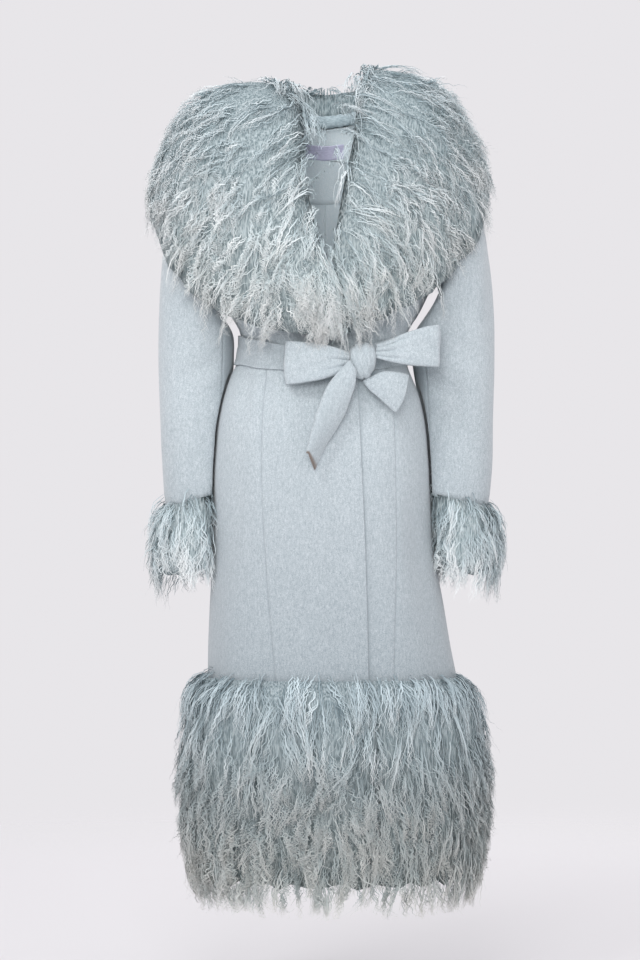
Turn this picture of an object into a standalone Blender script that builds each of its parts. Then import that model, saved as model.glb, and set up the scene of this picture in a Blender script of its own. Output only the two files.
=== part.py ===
# Long belted coat of felted wool with a fur shawl collar, fur cuffs and a fur hem.
# It keeps the hollow form of a coat that is worn, with no wearer.
# Metres, +Z up. The front faces -Y and the wearer's left is +X. Z is 0 at the back neck seam.

import bisect
import math

import bmesh
import bpy
import numpy as np
from mathutils import Vector
from mathutils.bvhtree import BVHTree


# Sizes that drive the coat

CLOTH_WALL = 0.0024
SEAM_GAP = 0.0003
UNDERARM_Z = -0.250
HEM_SEAM_Z = -0.836
NECK_HALF_WIDTH = 0.075
NECK_BACK_DEPTH = 0.072
NECK_FRONT_DEPTH = 0.055
NECK_SIDE_Z = 0.008
SHOULDER_POINT = (0.205, 0.005, -0.045)
NECK_SHARE = 0.36
SECTION_SQUARENESS = 2.35
ARMHOLE_DEPTH = 0.058
ARMHOLE_SCOOP = 0.010
UPPER_STEPS = 8
SASH_WALL = 0.0028
BELT_HALF_WIDTH = 0.022
BELT_CLEARANCE = 0.0014
BACK_COLUMNS = 9
LAP_GAP = 0.0010
LAP_PAST_EDGE = 0.03
LAP_STEP = 0.10
FUR_CLEARANCE = 0.0065
REST_CLEARANCE = 0.0012
COLLAR_RAY_START = 0.07
FUR_OPEN_REACH = 1.0
FUR_TIP_THINNING = 0.55
FUR_MAX_THICKNESS = 0.046
FUR_MIN_THICKNESS = 0.009

CLOTH_COLOUR = (0.585, 0.675, 0.725)
SASH_COLOUR = (0.600, 0.685, 0.735)
FUR_COLOUR = (0.440, 0.545, 0.590)
BAND_COLOUR = (0.400, 0.500, 0.550)
SATIN_COLOUR = (0.560, 0.550, 0.740)


class Table:
    # Rows of named columns, read as smooth curves over the first column
    def __init__(self, columns, rows):
        data = np.array(sorted(rows), dtype=float)
        self.keys = list(data[:, 0])
        self.values = {}
        self.slopes = {}
        for index, column in enumerate(columns):
            self.values[column] = data[:, index]
            self.slopes[column] = np.gradient(data[:, index], data[:, 0])

    def at(self, column, key):
        keys = self.keys
        key = min(max(key, keys[0]), keys[-1])
        i = min(bisect.bisect_right(keys, key) - 1, len(keys) - 2)
        span = keys[i + 1] - keys[i]
        s = (key - keys[i]) / span
        value = self.values[column]
        slope = self.slopes[column]
        start = (2 * s**3 - 3 * s**2 + 1) * value[i] + (s**3 - 2 * s**2 + s) * span * slope[i]
        end = (3 * s**2 - 2 * s**3) * value[i + 1] + (s**3 - s**2) * span * slope[i + 1]
        return float(start + end)


# Half widths to the wearer's right and left, and depths to the front and back, at each height
BODY = Table(
    ("z", "right", "left", "front", "back"),
    [
        (-0.250, 0.158, 0.158, 0.116, 0.102),
        (-0.285, 0.143, 0.141, 0.108, 0.097),
        (-0.316, 0.1265, 0.1225, 0.099, 0.091),
        (-0.340, 0.1275, 0.1215, 0.095, 0.088),
        (-0.360, 0.1320, 0.1225, 0.096, 0.089),
        (-0.378, 0.1410, 0.1290, 0.102, 0.094),
        (-0.405, 0.1505, 0.1400, 0.109, 0.102),
        (-0.440, 0.1590, 0.1485, 0.115, 0.110),
        (-0.500, 0.1650, 0.1550, 0.120, 0.118),
        (-0.570, 0.1670, 0.1580, 0.123, 0.123),
        (-0.650, 0.1685, 0.1640, 0.126, 0.127),
        (-0.720, 0.1730, 0.1770, 0.129, 0.131),
        (-0.780, 0.1755, 0.1875, 0.132, 0.134),
        (-0.836, 0.1760, 0.1980, 0.135, 0.137),
        (-0.920, 0.1755, 0.2010, 0.138, 0.141),
        (-1.165, 0.1740, 0.2030, 0.142, 0.145),
    ],
)

# Soft troughs of the skirt: side of the coat, place from -1 right to 1 left, width and depth at the hem
SKIRT_TROUGHS = [
    ("back", -0.64, 0.15, 0.0075),
    ("back", -0.28, 0.14, 0.0095),
    ("back", 0.10, 0.15, 0.0070),
    ("back", 0.44, 0.13, 0.0090),
    ("back", 0.77, 0.14, 0.0070),
    ("front", -0.74, 0.16, 0.0050),
    ("front", -0.34, 0.18, 0.0025),
    ("front", 0.66, 0.15, 0.0045),
]
TROUGH_START_Z = -0.42

# Sideways place of the seams and front edges at each height under the armhole
OVER_EDGE = Table(
    ("z", "x"),
    [
        (-0.250, 0.010),
        (-0.300, 0.030),
        (-0.345, 0.044),
        (-0.405, 0.048),
        (-0.520, 0.0535),
        (-0.610, 0.0575),
        (-0.715, 0.0610),
        (-0.836, 0.0635),
        (-1.165, 0.0660),
    ],
)
UNDER_EDGE = Table(
    ("z", "x"),
    [
        (-0.250, -0.006),
        (-0.300, -0.040),
        (-0.345, -0.066),
        (-0.405, -0.072),
        (-0.500, -0.072),
        (-0.836, -0.072),
        (-1.165, -0.072),
    ],
)
RIGHT_PRINCESS = Table(
    ("z", "x"),
    [(-0.250, -0.098), (-0.345, -0.086), (-0.440, -0.093), (-0.690, -0.085), (-0.836, -0.072)],
)
LEFT_PRINCESS = Table(
    ("z", "x"),
    [(-0.250, 0.098), (-0.345, 0.088), (-0.440, 0.101), (-0.570, 0.105), (-0.836, 0.101)],
)
OVER_EDGE_TOP = -NECK_SHARE
UNDER_EDGE_TOP = NECK_SHARE
PRINCESS_TOP = 0.70

# Sleeve rings from the armhole to the cuff seam: outer line of each arm, inner line, front and back
SLEEVE = Table(
    ("ring", "right_x", "left_x", "outer_z", "right_inner", "left_inner", "inner_z", "front", "back"),
    [
        (1, 0.2150, 0.2150, -0.054, 0.1680, 0.1680, -0.2440, 0.062, 0.066),
        (2, 0.2245, 0.2220, -0.082, 0.1715, 0.1710, -0.2560, 0.066, 0.070),
        (3, 0.2330, 0.2315, -0.122, 0.1640, 0.1620, -0.2730, 0.067, 0.075),
        (4, 0.2400, 0.2415, -0.172, 0.1510, 0.1480, -0.2920, 0.066, 0.080),
        (5, 0.2460, 0.2495, -0.232, 0.1380, 0.1330, -0.3170, 0.062, 0.083),
        (6, 0.2500, 0.2540, -0.298, 0.1370, 0.1310, -0.3520, 0.054, 0.085),
        (7, 0.2505, 0.2550, -0.368, 0.1390, 0.1370, -0.3970, 0.048, 0.085),
        (8, 0.2480, 0.2530, -0.440, 0.1400, 0.1400, -0.4500, 0.044, 0.083),
        (9, 0.2450, 0.2520, -0.510, 0.1400, 0.1400, -0.5000, 0.041, 0.080),
        (10, 0.2405, 0.2460, -0.577, 0.1420, 0.1420, -0.5500, 0.040, 0.076),
    ],
)
SLEEVE_RINGS = 13
ARMHOLE_GAP = 0.0005
SLEEVE_SEAM_GAP = 0.0012
SLEEVE_SQUARENESS = 2.3
SLEEVE_CLEARANCE = 0.0045
FRONT_SLEEVE_SEAM = 6
BACK_SLEEVE_SEAM = 11

# Fur cuff: drop under the cuff seam and how far the fur stands out
CUFF_PROFILE = [
    (0.0006, 0.0),
    (-0.0040, 0.0080),
    (0.0200, 0.0160),
    (0.0550, 0.0205),
    (0.0850, 0.0190),
    (0.1120, 0.0110),
]
CUFF_INNER_DROPS = (0.1000, 0.0500, 0.0006)
CUFF_WAVE = 0.009
CUFF_SKIRT_CLEARANCE = 0.0030
CUFF_WALL_CLEARANCE = 0.0090
CUFF_INSIDE_LOFT = 0.12

# Facing and label inside the back neck
FACING_GAP = 0.0005
FACING_WALL = 0.0014
FACING_TOP_SHARE = 0.8
BAND_HALF_HEIGHT = 0.0095
BAND_HALF_THICKNESS = 0.0045
BAND_INSET = 0.0025
LABEL_WALL = 0.0010
LABEL_FOOT = 56.25
LABEL_TOP = 67.5
LABEL_SHARE = 0.80

# Fur hem: height and how far the fur stands out
HEM_PROFILE = [
    (-0.8250, 0.0030),
    (-0.8225, 0.0110),
    (-0.8480, 0.0270),
    (-0.9000, 0.0380),
    (-0.9650, 0.0420),
    (-1.0350, 0.0405),
    (-1.0900, 0.0330),
    (-1.1280, 0.0240),
    (-1.1500, 0.0120),
]
HEM_INNER_HEIGHTS = (-1.1380, -1.0400, -0.9350, HEM_SEAM_Z - SEAM_GAP)
HEM_UNDERLAP_THICKNESS = 0.005
HEM_UNDERLAP_INSET = 0.0030
HEM_UNDERLAP_REACH = 0.004
HEM_UNDERLAP_STEP = 0.0015
HEM_HALF_GIRTH = 0.26
HEM_SEAM_PLACE = 0.002
HEM_OVERLAP_PLACE = 0.010
LOCK_DEPTH = 0.0032
LOCK_MIN_LOFT = 0.02
TIP_JAG = 0.0060
TIP_WIDTH = 0.0066
TIP_TOP_Z = -1.12

# Collar sections from the front end to the centre back: inner roll of the fur, tips, and fullness
COLLAR_COLUMNS = ("row", "roll_x", "roll_y", "roll_z", "tip_x", "tip_y", "tip_z", "full")
COLLAR_RIGHT = Table(
    COLLAR_COLUMNS,
    [
        (0, 0.003, -0.132, -0.222, 0.038, -0.130, -0.326, 0.040),
        (1, -0.006, -0.132, -0.196, -0.012, -0.140, -0.329, 0.052),
        (2, -0.015, -0.124, -0.162, -0.066, -0.142, -0.326, 0.066),
        (3, -0.022, -0.110, -0.122, -0.120, -0.134, -0.311, 0.078),
        (4, -0.030, -0.094, -0.078, -0.166, -0.118, -0.290, 0.090),
        (5, -0.030, -0.074, -0.030, -0.207, -0.098, -0.256, 0.104),
        (6, -0.034, -0.046, 0.020, -0.241, -0.068, -0.206, 0.130),
        (7, -0.060, -0.006, 0.060, -0.262, -0.008, -0.146, 0.155),
        (8, -0.068, 0.034, 0.064, -0.246, 0.082, -0.176, 0.140),
        (9, -0.044, 0.060, 0.060, -0.160, 0.158, -0.228, 0.120),
        (10, 0.000, 0.068, 0.055, 0.000, 0.188, -0.250, 0.105),
    ],
)
COLLAR_LEFT = Table(
    COLLAR_COLUMNS,
    [
        (0, 0.009, -0.132, -0.215, 0.047, -0.130, -0.320, 0.036),
        (1, 0.014, -0.128, -0.186, 0.074, -0.138, -0.312, 0.050),
        (2, 0.018, -0.120, -0.156, 0.104, -0.136, -0.296, 0.064),
        (3, 0.024, -0.108, -0.120, 0.136, -0.126, -0.280, 0.074),
        (4, 0.032, -0.092, -0.076, 0.166, -0.112, -0.258, 0.084),
        (5, 0.041, -0.072, -0.030, 0.193, -0.092, -0.230, 0.094),
        (6, 0.047, -0.044, 0.030, 0.224, -0.064, -0.182, 0.112),
        (7, 0.060, -0.004, 0.084, 0.238, -0.006, -0.112, 0.125),
        (8, 0.068, 0.034, 0.072, 0.222, 0.086, -0.170, 0.130),
        (9, 0.044, 0.060, 0.060, 0.150, 0.158, -0.228, 0.120),
        (10, 0.000, 0.068, 0.055, 0.000, 0.188, -0.250, 0.105),
    ],
)
COLLAR_BACK_START = 8
COLLAR_SEAM_GAP = 0.0008
COLLAR_PEAK_SHARE = 0.38
COLLAR_STEPS = 8
COLLAR_COLUMNS_PER_ROW = 3
COLLAR_RUN_PER_ROW = 0.045

# Bow: centre of the knot and its half sizes
KNOT_CENTRE = (0.0550, -0.1171, -0.3600)
KNOT_HALF = (0.0205, 0.0200, 0.0270)
KNOT_TAPER = 0.16
KNOT_SQUARENESS = 2.6
KNOT_WRAP_DEPTH = 0.0014
LOOP_TUCK = 0.0008


def scaled_power(value, squareness):
    # Signed power that turns a circle into a rounder or squarer section
    return math.copysign(abs(value) ** (2 / squareness), value)


def smooth_step(value):
    value = min(max(value, 0.0), 1.0)
    return value * value * (3 - 2 * value)


def mix(a, b, share):
    return a + (b - a) * share


# Materials

def cloth_material(name, colour, roughness):
    material = bpy.data.materials.new(name)
    material.use_nodes = True
    shader = material.node_tree.nodes["Principled BSDF"]
    shader.inputs["Base Color"].default_value = (*colour, 1.0)
    shader.inputs["Roughness"].default_value = roughness
    shader.inputs["Metallic"].default_value = 0.0
    return material


# Solids from grids of points

def add_object(name, points, faces, material):
    mesh = bpy.data.meshes.new(name)
    mesh.from_pydata([tuple(p) for p in points], [], faces)
    shape = bmesh.new()
    shape.from_mesh(mesh)
    bmesh.ops.recalc_face_normals(shape, faces=shape.faces)
    if shape.calc_volume(signed=True) < 0:
        bmesh.ops.reverse_faces(shape, faces=shape.faces)
    shape.to_mesh(mesh)
    shape.free()
    mesh.shade_smooth()
    mesh.set_sharp_from_angle(angle=math.radians(50))
    mesh.materials.append(material)
    made = bpy.data.objects.new(name, mesh)
    bpy.context.scene.collection.objects.link(made)
    return made


def sheet_solid(name, outer, inner, material):
    # A wall between two grids of the same rows and columns, closed round its four edges
    rows, columns = outer.shape[:2]
    points = np.concatenate([outer.reshape(-1, 3), inner.reshape(-1, 3)])
    half = rows * columns
    faces = []
    for i in range(rows - 1):
        for j in range(columns - 1):
            a = i * columns + j
            for triangle in ((a, a + 1, a + 1 + columns), (a, a + 1 + columns, a + columns)):
                faces.append(triangle)
                faces.append(tuple(half + k for k in reversed(triangle)))
    border = [(0, j) for j in range(columns)]
    border += [(i, columns - 1) for i in range(1, rows)]
    border += [(rows - 1, j) for j in range(columns - 2, -1, -1)]
    border += [(i, 0) for i in range(rows - 2, 0, -1)]
    for (i, j), (k, m) in zip(border, border[1:] + border[:1]):
        a = i * columns + j
        b = k * columns + m
        faces.append((b, a, a + half, b + half))
    return add_object(name, points, faces, material)


def ladder(size):
    # Triangles that fill a section of this many points, from its first and last point inwards
    faces = []
    for i in range(size // 2):
        k = size - 1 - i
        if k - i >= 2:
            faces.append((i, i + 1, k))
        if k - i >= 3:
            faces.append((i + 1, k - 1, k))
    return faces


def section_solid(name, sections, ends, material):
    # A solid through closed sections of equal point counts, in a ring or with an end of either kind
    count, size = sections.shape[:2]
    faces = []
    for i in range(count if ends == "ring" else count - 1):
        k = (i + 1) % count
        for j in range(size):
            m = (j + 1) % size
            faces.append((i * size + j, i * size + m, k * size + m, k * size + j))
    if ends != "ring":
        end_faces = ladder(size) if ends == "ladder" else [tuple(range(size))]
        for start in (0, (count - 1) * size):
            faces += [tuple(start + k for k in face) for face in end_faces]
    return add_object(name, sections.reshape(-1, 3), faces, material)


def drawn_in(grid, edges, gap=SEAM_GAP):
    # Pulls the named edges of a grid back by half a seam's gap
    moved = grid.copy()
    ends = {"first_row": (0, 1, 0), "last_row": (-1, -2, 0), "first_column": (0, 1, 1), "last_column": (-1, -2, 1)}
    for edge in edges:
        border, beside, axis = ends[edge]
        source = np.moveaxis(grid, axis, 0)
        target = np.moveaxis(moved, axis, 0)
        step = source[beside] - source[border]
        length = np.linalg.norm(step, axis=1, keepdims=True)
        target[border] += step / length * gap / 2
    return moved


def grid_normals(grid, wraps=False):
    # Unit normals of a grid of points, from its neighbours in both directions
    if wraps:
        padded = np.concatenate([grid[:, -1:], grid, grid[:, :1]], axis=1)
        across = (padded[:, 2:] - padded[:, :-2]) / 2
    else:
        across = np.gradient(grid, axis=1)
    along = np.gradient(grid, axis=0)
    normal = np.cross(along, across)
    return normal / np.linalg.norm(normal, axis=2, keepdims=True)


# Skin of the coat's body

def trough(side, place, z):
    growth = smooth_step((TROUGH_START_Z - z) / (TROUGH_START_Z - HEM_SEAM_Z))
    depth = 0.0
    for trough_side, centre, width, most in SKIRT_TROUGHS:
        if trough_side == side:
            depth += most * math.exp(-(((place - centre) / width) ** 2))
    return depth * growth


def ring_point(side, place, z, inset):
    # A point of the horizontal section at height z; place runs from -1 at the right side to 1 at the left
    half = BODY.at("right" if place < 0 else "left", z) - inset
    depth = BODY.at(side, z) - inset
    turn = place * math.pi / 2
    across = scaled_power(math.sin(turn), SECTION_SQUARENESS)
    out = scaled_power(math.cos(turn), SECTION_SQUARENESS)
    sunk = trough(side, place, z)
    x = across * (half - sunk * abs(across))
    y = out * (depth - sunk)
    return np.array([x, -y if side == "front" else y, z])


def place_of(x, z):
    # The place whose point of the section lies at x
    half = BODY.at("right" if x < 0 else "left", z)
    share = min(abs(x) / half, 1.0) ** (SECTION_SQUARENESS / 2)
    return math.copysign(math.asin(share) / (math.pi / 2), x)


def top_line(side, place, inset):
    # The neck edge, and the shoulder seam out to the shoulder point
    reach = abs(place)
    if reach <= NECK_SHARE:
        turn = reach / NECK_SHARE * math.pi / 2
        x = NECK_HALF_WIDTH * math.sin(turn)
        if side == "back":
            y = NECK_BACK_DEPTH * math.cos(turn)
            z = NECK_SIDE_Z * math.sin(turn)
        else:
            y = -NECK_FRONT_DEPTH * math.cos(turn)
            z = NECK_SIDE_Z - 0.06 * math.cos(turn) ** 2
    else:
        share = (reach - NECK_SHARE) / (1 - NECK_SHARE)
        x = mix(NECK_HALF_WIDTH, SHOULDER_POINT[0], share)
        y = mix(0.0, SHOULDER_POINT[1], share)
        z = mix(NECK_SIDE_Z, SHOULDER_POINT[2], share**1.25)
    return np.array([math.copysign(x, place), y, z - inset])


def upper_point(side, place, turn, inset):
    # A point over the armhole's foot, turned from the upright wall to the shoulder seam
    base = ring_point(side, place, UNDERARM_Z, inset)
    top = top_line(side, place, inset)
    rise = math.sin(turn)
    lean = 1 - math.cos(turn)
    swell = math.sin(math.pi * rise) * place * place
    forward = -1 if side == "front" else 1
    x = mix(base[0], top[0], rise**2) - math.copysign(ARMHOLE_SCOOP * swell, place)
    y = mix(base[1], top[1], lean) + forward * (ARMHOLE_DEPTH - inset) * swell
    z = mix(base[2], top[2], rise)
    return np.array([x, y, z])


def skin(side, place, level, inset=0.0):
    # A level is a height under the armhole's foot, or a turn in degrees over it
    if level <= UNDERARM_Z:
        return ring_point(side, place, level, inset)
    return upper_point(side, place, math.radians(level), inset)


def seam_place(seam, top_place, level):
    # Where a seam or edge lies at a level, carried on over the armhole's foot to its place at the top
    if level <= UNDERARM_Z:
        return place_of(seam.at("x", level), level)
    foot = place_of(seam.at("x", UNDERARM_Z), UNDERARM_Z)
    return mix(foot, top_place, math.sin(math.radians(level)))


def over_edge(level):
    return seam_place(OVER_EDGE, OVER_EDGE_TOP, level)


def under_edge(level):
    return seam_place(UNDER_EDGE, UNDER_EDGE_TOP, level)


def right_princess(level):
    return seam_place(RIGHT_PRINCESS, -PRINCESS_TOP, level)


def left_princess(level):
    return seam_place(LEFT_PRINCESS, PRINCESS_TOP, level)


def right_side(level):
    return -1.0


def left_side(level):
    return 1.0


def centre(level):
    return 0.0


def cloth_levels():
    lower = [-0.836, -0.780, -0.720, -0.650, -0.570, -0.500, -0.440, -0.405]
    waist = [-0.378, -0.360, -0.340, -0.316, -0.285, UNDERARM_Z]
    upper = [90.0 * step / UPPER_STEPS for step in range(1, UPPER_STEPS + 1)]
    return lower + waist + upper


def no_lap(place, level):
    return 0.0


def underlap(place, level):
    # The under front passes inside the over front, and comes out to the skin past its edge
    sunk = CLOTH_WALL + LAP_GAP
    return sunk * (1 - smooth_step((place - over_edge(level) - LAP_PAST_EDGE) / LAP_STEP))


def even_places(first, last, columns):
    # Evenly spaced columns between two edges, each a function of the level
    return lambda level: [mix(first(level), last(level), j / columns) for j in range(columns + 1)]


def under_front_places(level):
    # Columns of the under front: its hidden lap, the step out past the over edge, and the rest
    start = under_edge(level)
    lap_end = max(over_edge(level) + LAP_PAST_EDGE, start + 0.06)
    out = lap_end + LAP_STEP
    hidden = [mix(start, lap_end, j / 4) for j in range(5)]
    return hidden + [mix(out, left_princess(level), j / 3) for j in range(4)]


def body_panel(name, side, places, edges, lap, material):
    layers = []
    for inset in (0.0, CLOTH_WALL):
        grid = []
        for level in cloth_levels():
            grid.append([skin(side, place, level, inset + lap(place, level)) for place in places(level)])
        layers.append(drawn_in(np.array(grid), edges))
    return sheet_solid(name, layers[0], layers[1], material)


def make_body(cloth):
    both = ("first_column", "last_column", "last_row")
    inner_edge = ("last_column", "last_row")
    pieces = [
        ("back_right", "back", even_places(right_side, centre, BACK_COLUMNS), both, no_lap),
        ("back_left", "back", even_places(centre, left_side, BACK_COLUMNS), both, no_lap),
        ("side_right", "front", even_places(right_side, right_princess, 3), both, no_lap),
        ("side_left", "front", even_places(left_princess, left_side, 3), both, no_lap),
        ("front_right", "front", even_places(over_edge, right_princess, 6), inner_edge, no_lap),
        ("front_left", "front", under_front_places, inner_edge, underlap),
    ]
    return [body_panel(*piece, cloth) for piece in pieces]


# Sleeves

def armhole_loop(sign, inset):
    loop = []
    for step in range(2 * UPPER_STEPS):
        side = "front" if step <= UPPER_STEPS else "back"
        turn = 90.0 * abs(UPPER_STEPS - step) / UPPER_STEPS
        level = turn if turn > 0 else UNDERARM_Z
        loop.append(skin(side, float(sign), level, inset))
    return np.array(loop)


def clear_of_skirt(point, clearance):
    # Moves a point out of the body's section, straight away from its middle
    x, y, z = point
    if z > UNDERARM_Z:
        return point
    half = BODY.at("right" if x < 0 else "left", z) + clearance
    depth = BODY.at("front" if y < 0 else "back", z) + clearance
    reach = (abs(x) / half) ** SECTION_SQUARENESS + (abs(y) / depth) ** SECTION_SQUARENESS
    if reach >= 1:
        return point
    scale = reach ** (-1 / SECTION_SQUARENESS)
    return np.array([x * scale, y * scale, z])


def sleeve_ring(sign, ring, inset, drop=0.0):
    # One ring of a sleeve: 0 degrees at the outer line, then front, inner line and back
    side = "right" if sign < 0 else "left"
    outer = np.array([sign * SLEEVE.at(side + "_x", ring), 0.0, SLEEVE.at("outer_z", ring) - drop])
    inner = np.array([sign * SLEEVE.at(side + "_inner", ring), 0.0, SLEEVE.at("inner_z", ring) - drop])
    front = SLEEVE.at("front", ring)
    back = SLEEVE.at("back", ring)
    centre = (outer + inner) / 2 + np.array([0.0, (back - front) / 2, 0.0])
    axis = (outer - inner) / 2
    across = np.linalg.norm(axis)
    points = []
    for step in range(2 * UPPER_STEPS):
        turn = math.pi * step / UPPER_STEPS
        a = scaled_power(math.cos(turn), SLEEVE_SQUARENESS) * (across - inset) / across
        b = scaled_power(math.sin(turn), SLEEVE_SQUARENESS) * ((front + back) / 2 - inset)
        points.append(centre + axis * a - np.array([0.0, b, 0.0]))
    return points


def sleeve_layers(sign):
    # Outer and inner grid of a whole sleeve, from just outside the armhole to the cuff seam
    first = armhole_loop(sign, 0.0) + np.array([sign * ARMHOLE_GAP, 0.0, 0.0])
    first[UPPER_STEPS][2] += ARMHOLE_GAP
    outer = [first]
    last = SLEEVE.keys[-1]
    for index in range(SLEEVE_RINGS):
        ring = mix(1.0, last, index / (SLEEVE_RINGS - 1))
        outer.append([clear_of_skirt(p, SLEEVE_CLEARANCE) for p in sleeve_ring(sign, ring, 0.0)])
    outer = np.array(outer)
    normals = grid_normals(outer, wraps=True)
    outward = outer - outer.mean(axis=1, keepdims=True)
    normals *= np.sign((normals * outward).sum(axis=(1, 2), keepdims=True))
    inner = outer - normals * CLOTH_WALL
    inward = first.mean(axis=0) - first
    inward[:, 0] = 0.0
    inner[0] = first + inward / np.linalg.norm(inward, axis=1, keepdims=True) * CLOTH_WALL
    return outer, inner


def make_sleeves(cloth):
    made = []
    count = 2 * UPPER_STEPS
    top = [(BACK_SLEEVE_SEAM + k) % count for k in range(count - BACK_SLEEVE_SEAM + FRONT_SLEEVE_SEAM + 1)]
    under = list(range(FRONT_SLEEVE_SEAM, BACK_SLEEVE_SEAM + 1))
    for sign, side in ((-1, "right"), (1, "left")):
        whole = sleeve_layers(sign)
        for piece, columns in (("top", top), ("under", under)):
            edges = ("first_column", "last_column")
            layers = [drawn_in(grid[:, columns], edges, SLEEVE_SEAM_GAP) for grid in whole]
            made.append(sheet_solid(f"sleeve_{piece}_{side}", layers[0], layers[1], cloth))
    return made


# Neck

def make_facing(cloth):
    # The facing inside the back neck, on the back panels' own columns and levels
    levels = [90.0 * step / UPPER_STEPS for step in range(3, UPPER_STEPS + 1)]
    places = [j / BACK_COLUMNS for j in range(-4, 5)]
    inset = CLOTH_WALL + FACING_GAP
    layers = []
    for depth in (inset, inset + FACING_WALL):
        grid = np.array([[skin("back", place, level, depth) for place in places] for level in levels])
        grid[-1] = mix(grid[-2], grid[-1], FACING_TOP_SHARE)
        layers.append(grid)
    return sheet_solid("neck_facing", layers[0], layers[1], cloth)


def make_label(satin):
    # A bare satin label, flat on the facets of the facing each side of the centre
    depth = CLOTH_WALL + FACING_GAP + FACING_WALL
    step = 1 / BACK_COLUMNS
    layers = []
    for extra in (FACING_GAP, FACING_GAP + LABEL_WALL):
        grid = []
        for share in (0.02, 0.98):
            level = mix(LABEL_FOOT, LABEL_TOP, share)
            middle = skin("back", 0.0, level, depth)
            row = []
            for sign in (-1, 0, 1):
                side = skin("back", sign * step, level, depth)
                row.append(mix(middle, side, LABEL_SHARE) - np.array([0.0, extra, 0.0]))
            grid.append(row)
        layers.append(np.array(grid))
    return sheet_solid("label", layers[0], layers[1], satin)


def make_neck_band(band):
    # The soft roll along the back neck seam, inside the collar
    sections = []
    for i in range(13):
        turn = mix(-0.94, 0.94, i / 12) * math.pi / 2
        out = np.array([math.sin(turn), math.cos(turn), 0.0])
        radius = np.array([NECK_HALF_WIDTH, NECK_BACK_DEPTH, 0.0]) * out
        foot = NECK_SIDE_Z * abs(math.sin(turn)) + 0.0007
        section = []
        for k in range(8):
            a = 2 * math.pi * k / 8
            rise = np.array([0.0, 0.0, foot + BAND_HALF_HEIGHT * (1 + math.sin(a))])
            section.append(radius - out * (BAND_INSET + BAND_HALF_THICKNESS * math.cos(a)) + rise)
        sections.append(section)
    return section_solid("neck_band", np.array(sections), "flat", band)


# Fur

def lock_relief(run, height):
    # Uneven ridges of hanging locks, from the distance run round the edge
    wave = math.sin(run / 0.0078 + 9.0 * height) + 0.7 * math.sin(run / 0.0049 + 1.7 - 14.0 * height)
    return LOCK_DEPTH * wave


def hem_underlap_point(z, share, thickness):
    # The thin end of the under front's fur band, inside the over front's
    place = mix(under_edge(z), over_edge(z) + HEM_UNDERLAP_REACH, share)
    return skin("front", place, z, HEM_UNDERLAP_INSET + thickness)


def hem_underlap_section(share):
    top = HEM_SEAM_Z - SEAM_GAP
    section = []
    for z, _ in HEM_PROFILE:
        height = max(z, HEM_INNER_HEIGHTS[0] - HEM_UNDERLAP_REACH)
        height = min(height, top - HEM_UNDERLAP_STEP * (z > -0.85))
        section.append(hem_underlap_point(height, share, 0.0))
    for z in HEM_INNER_HEIGHTS:
        section.append(hem_underlap_point(z, share, HEM_UNDERLAP_THICKNESS))
    section.append(mix(section[0], section[-1], 0.5))
    return section


def hem_section(side, first, last, share):
    # One section of the band: outer face of the fur downwards, then the inner face upwards
    section = []
    for z, loft in HEM_PROFILE:
        place = mix(first(z), last(z), share)
        run = place * HEM_HALF_GIRTH
        bump = lock_relief(run, z) if loft > LOCK_MIN_LOFT else 0.0
        jag = TIP_JAG * math.sin(run / TIP_WIDTH) if z < TIP_TOP_Z else 0.0
        section.append(skin(side, place, z + jag, bump - loft))
    for z in HEM_INNER_HEIGHTS:
        section.append(skin(side, mix(first(z), last(z), share), z, CLOTH_WALL))
    place = mix(first(HEM_SEAM_Z), last(HEM_SEAM_Z), share)
    section.append(skin(side, place, HEM_SEAM_Z - SEAM_GAP, -HEM_PROFILE[0][1]))
    return section


def make_hem_piece(name, side, first, last, columns, under_columns, fur):
    sections = [hem_section(side, first, last, j / columns) for j in range(columns + 1)]
    if under_columns:
        sections = [hem_underlap_section(j / under_columns) for j in range(under_columns + 1)] + sections
    return section_solid(name, np.array(sections), "flat", fur)


def beside(edge, gap):
    # An edge moved sideways, as a function of height
    return lambda z: edge(z) + gap


def make_hem(fur):
    right = beside(right_side, HEM_SEAM_PLACE)
    left = beside(left_side, -HEM_SEAM_PLACE)
    before_edge = beside(over_edge, -HEM_SEAM_PLACE)
    after_edge = beside(over_edge, HEM_OVERLAP_PLACE)
    return [
        make_hem_piece("hem_back", "back", right, left, 34, 0, fur),
        make_hem_piece("hem_right", "front", right, before_edge, 19, 0, fur),
        make_hem_piece("hem_left", "front", after_edge, left, 14, 4, fur),
    ]


def make_cuff(sign, name, fur):
    # The fur carries the sleeve's tube on, thin where it lies against the skirt
    last = SLEEVE.keys[-1]
    count = 2 * UPPER_STEPS
    rings = []
    for drop, loft in CUFF_PROFILE:
        points = sleeve_ring(sign, last, 0.0, drop)
        centre_point = np.mean(points, axis=0)
        moved = []
        for step, point in enumerate(points):
            inside = smooth_step(-math.cos(2 * math.pi * step / count) * 1.6)
            tip = smooth_step((drop - 0.06) / 0.05)
            wave = CUFF_WAVE * math.sin(2 * math.pi * step / count * 3 + 0.8) * tip
            out = loft * mix(1.0, CUFF_INSIDE_LOFT, inside)
            if loft > 0.012:
                out -= lock_relief(step * 0.021 + drop, drop) * (1 - inside)
            outward = (point - centre_point) * np.array([1.0, 1.0, 0.0])
            outward = outward / np.linalg.norm(outward)
            clearance = mix(SLEEVE_CLEARANCE, CUFF_SKIRT_CLEARANCE, min(loft / 0.008, 1.0))
            moved.append(clear_of_skirt(point + outward * out + np.array([0, 0, wave]), clearance))
        rings.append(moved)
    for drop in CUFF_INNER_DROPS:
        points = sleeve_ring(sign, last, CLOTH_WALL, drop)
        rings.append([clear_of_skirt(p, CUFF_WALL_CLEARANCE) for p in points])
    sections = np.swapaxes(np.array(rings), 0, 1)
    return section_solid(name, sections, "ring", fur)


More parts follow.
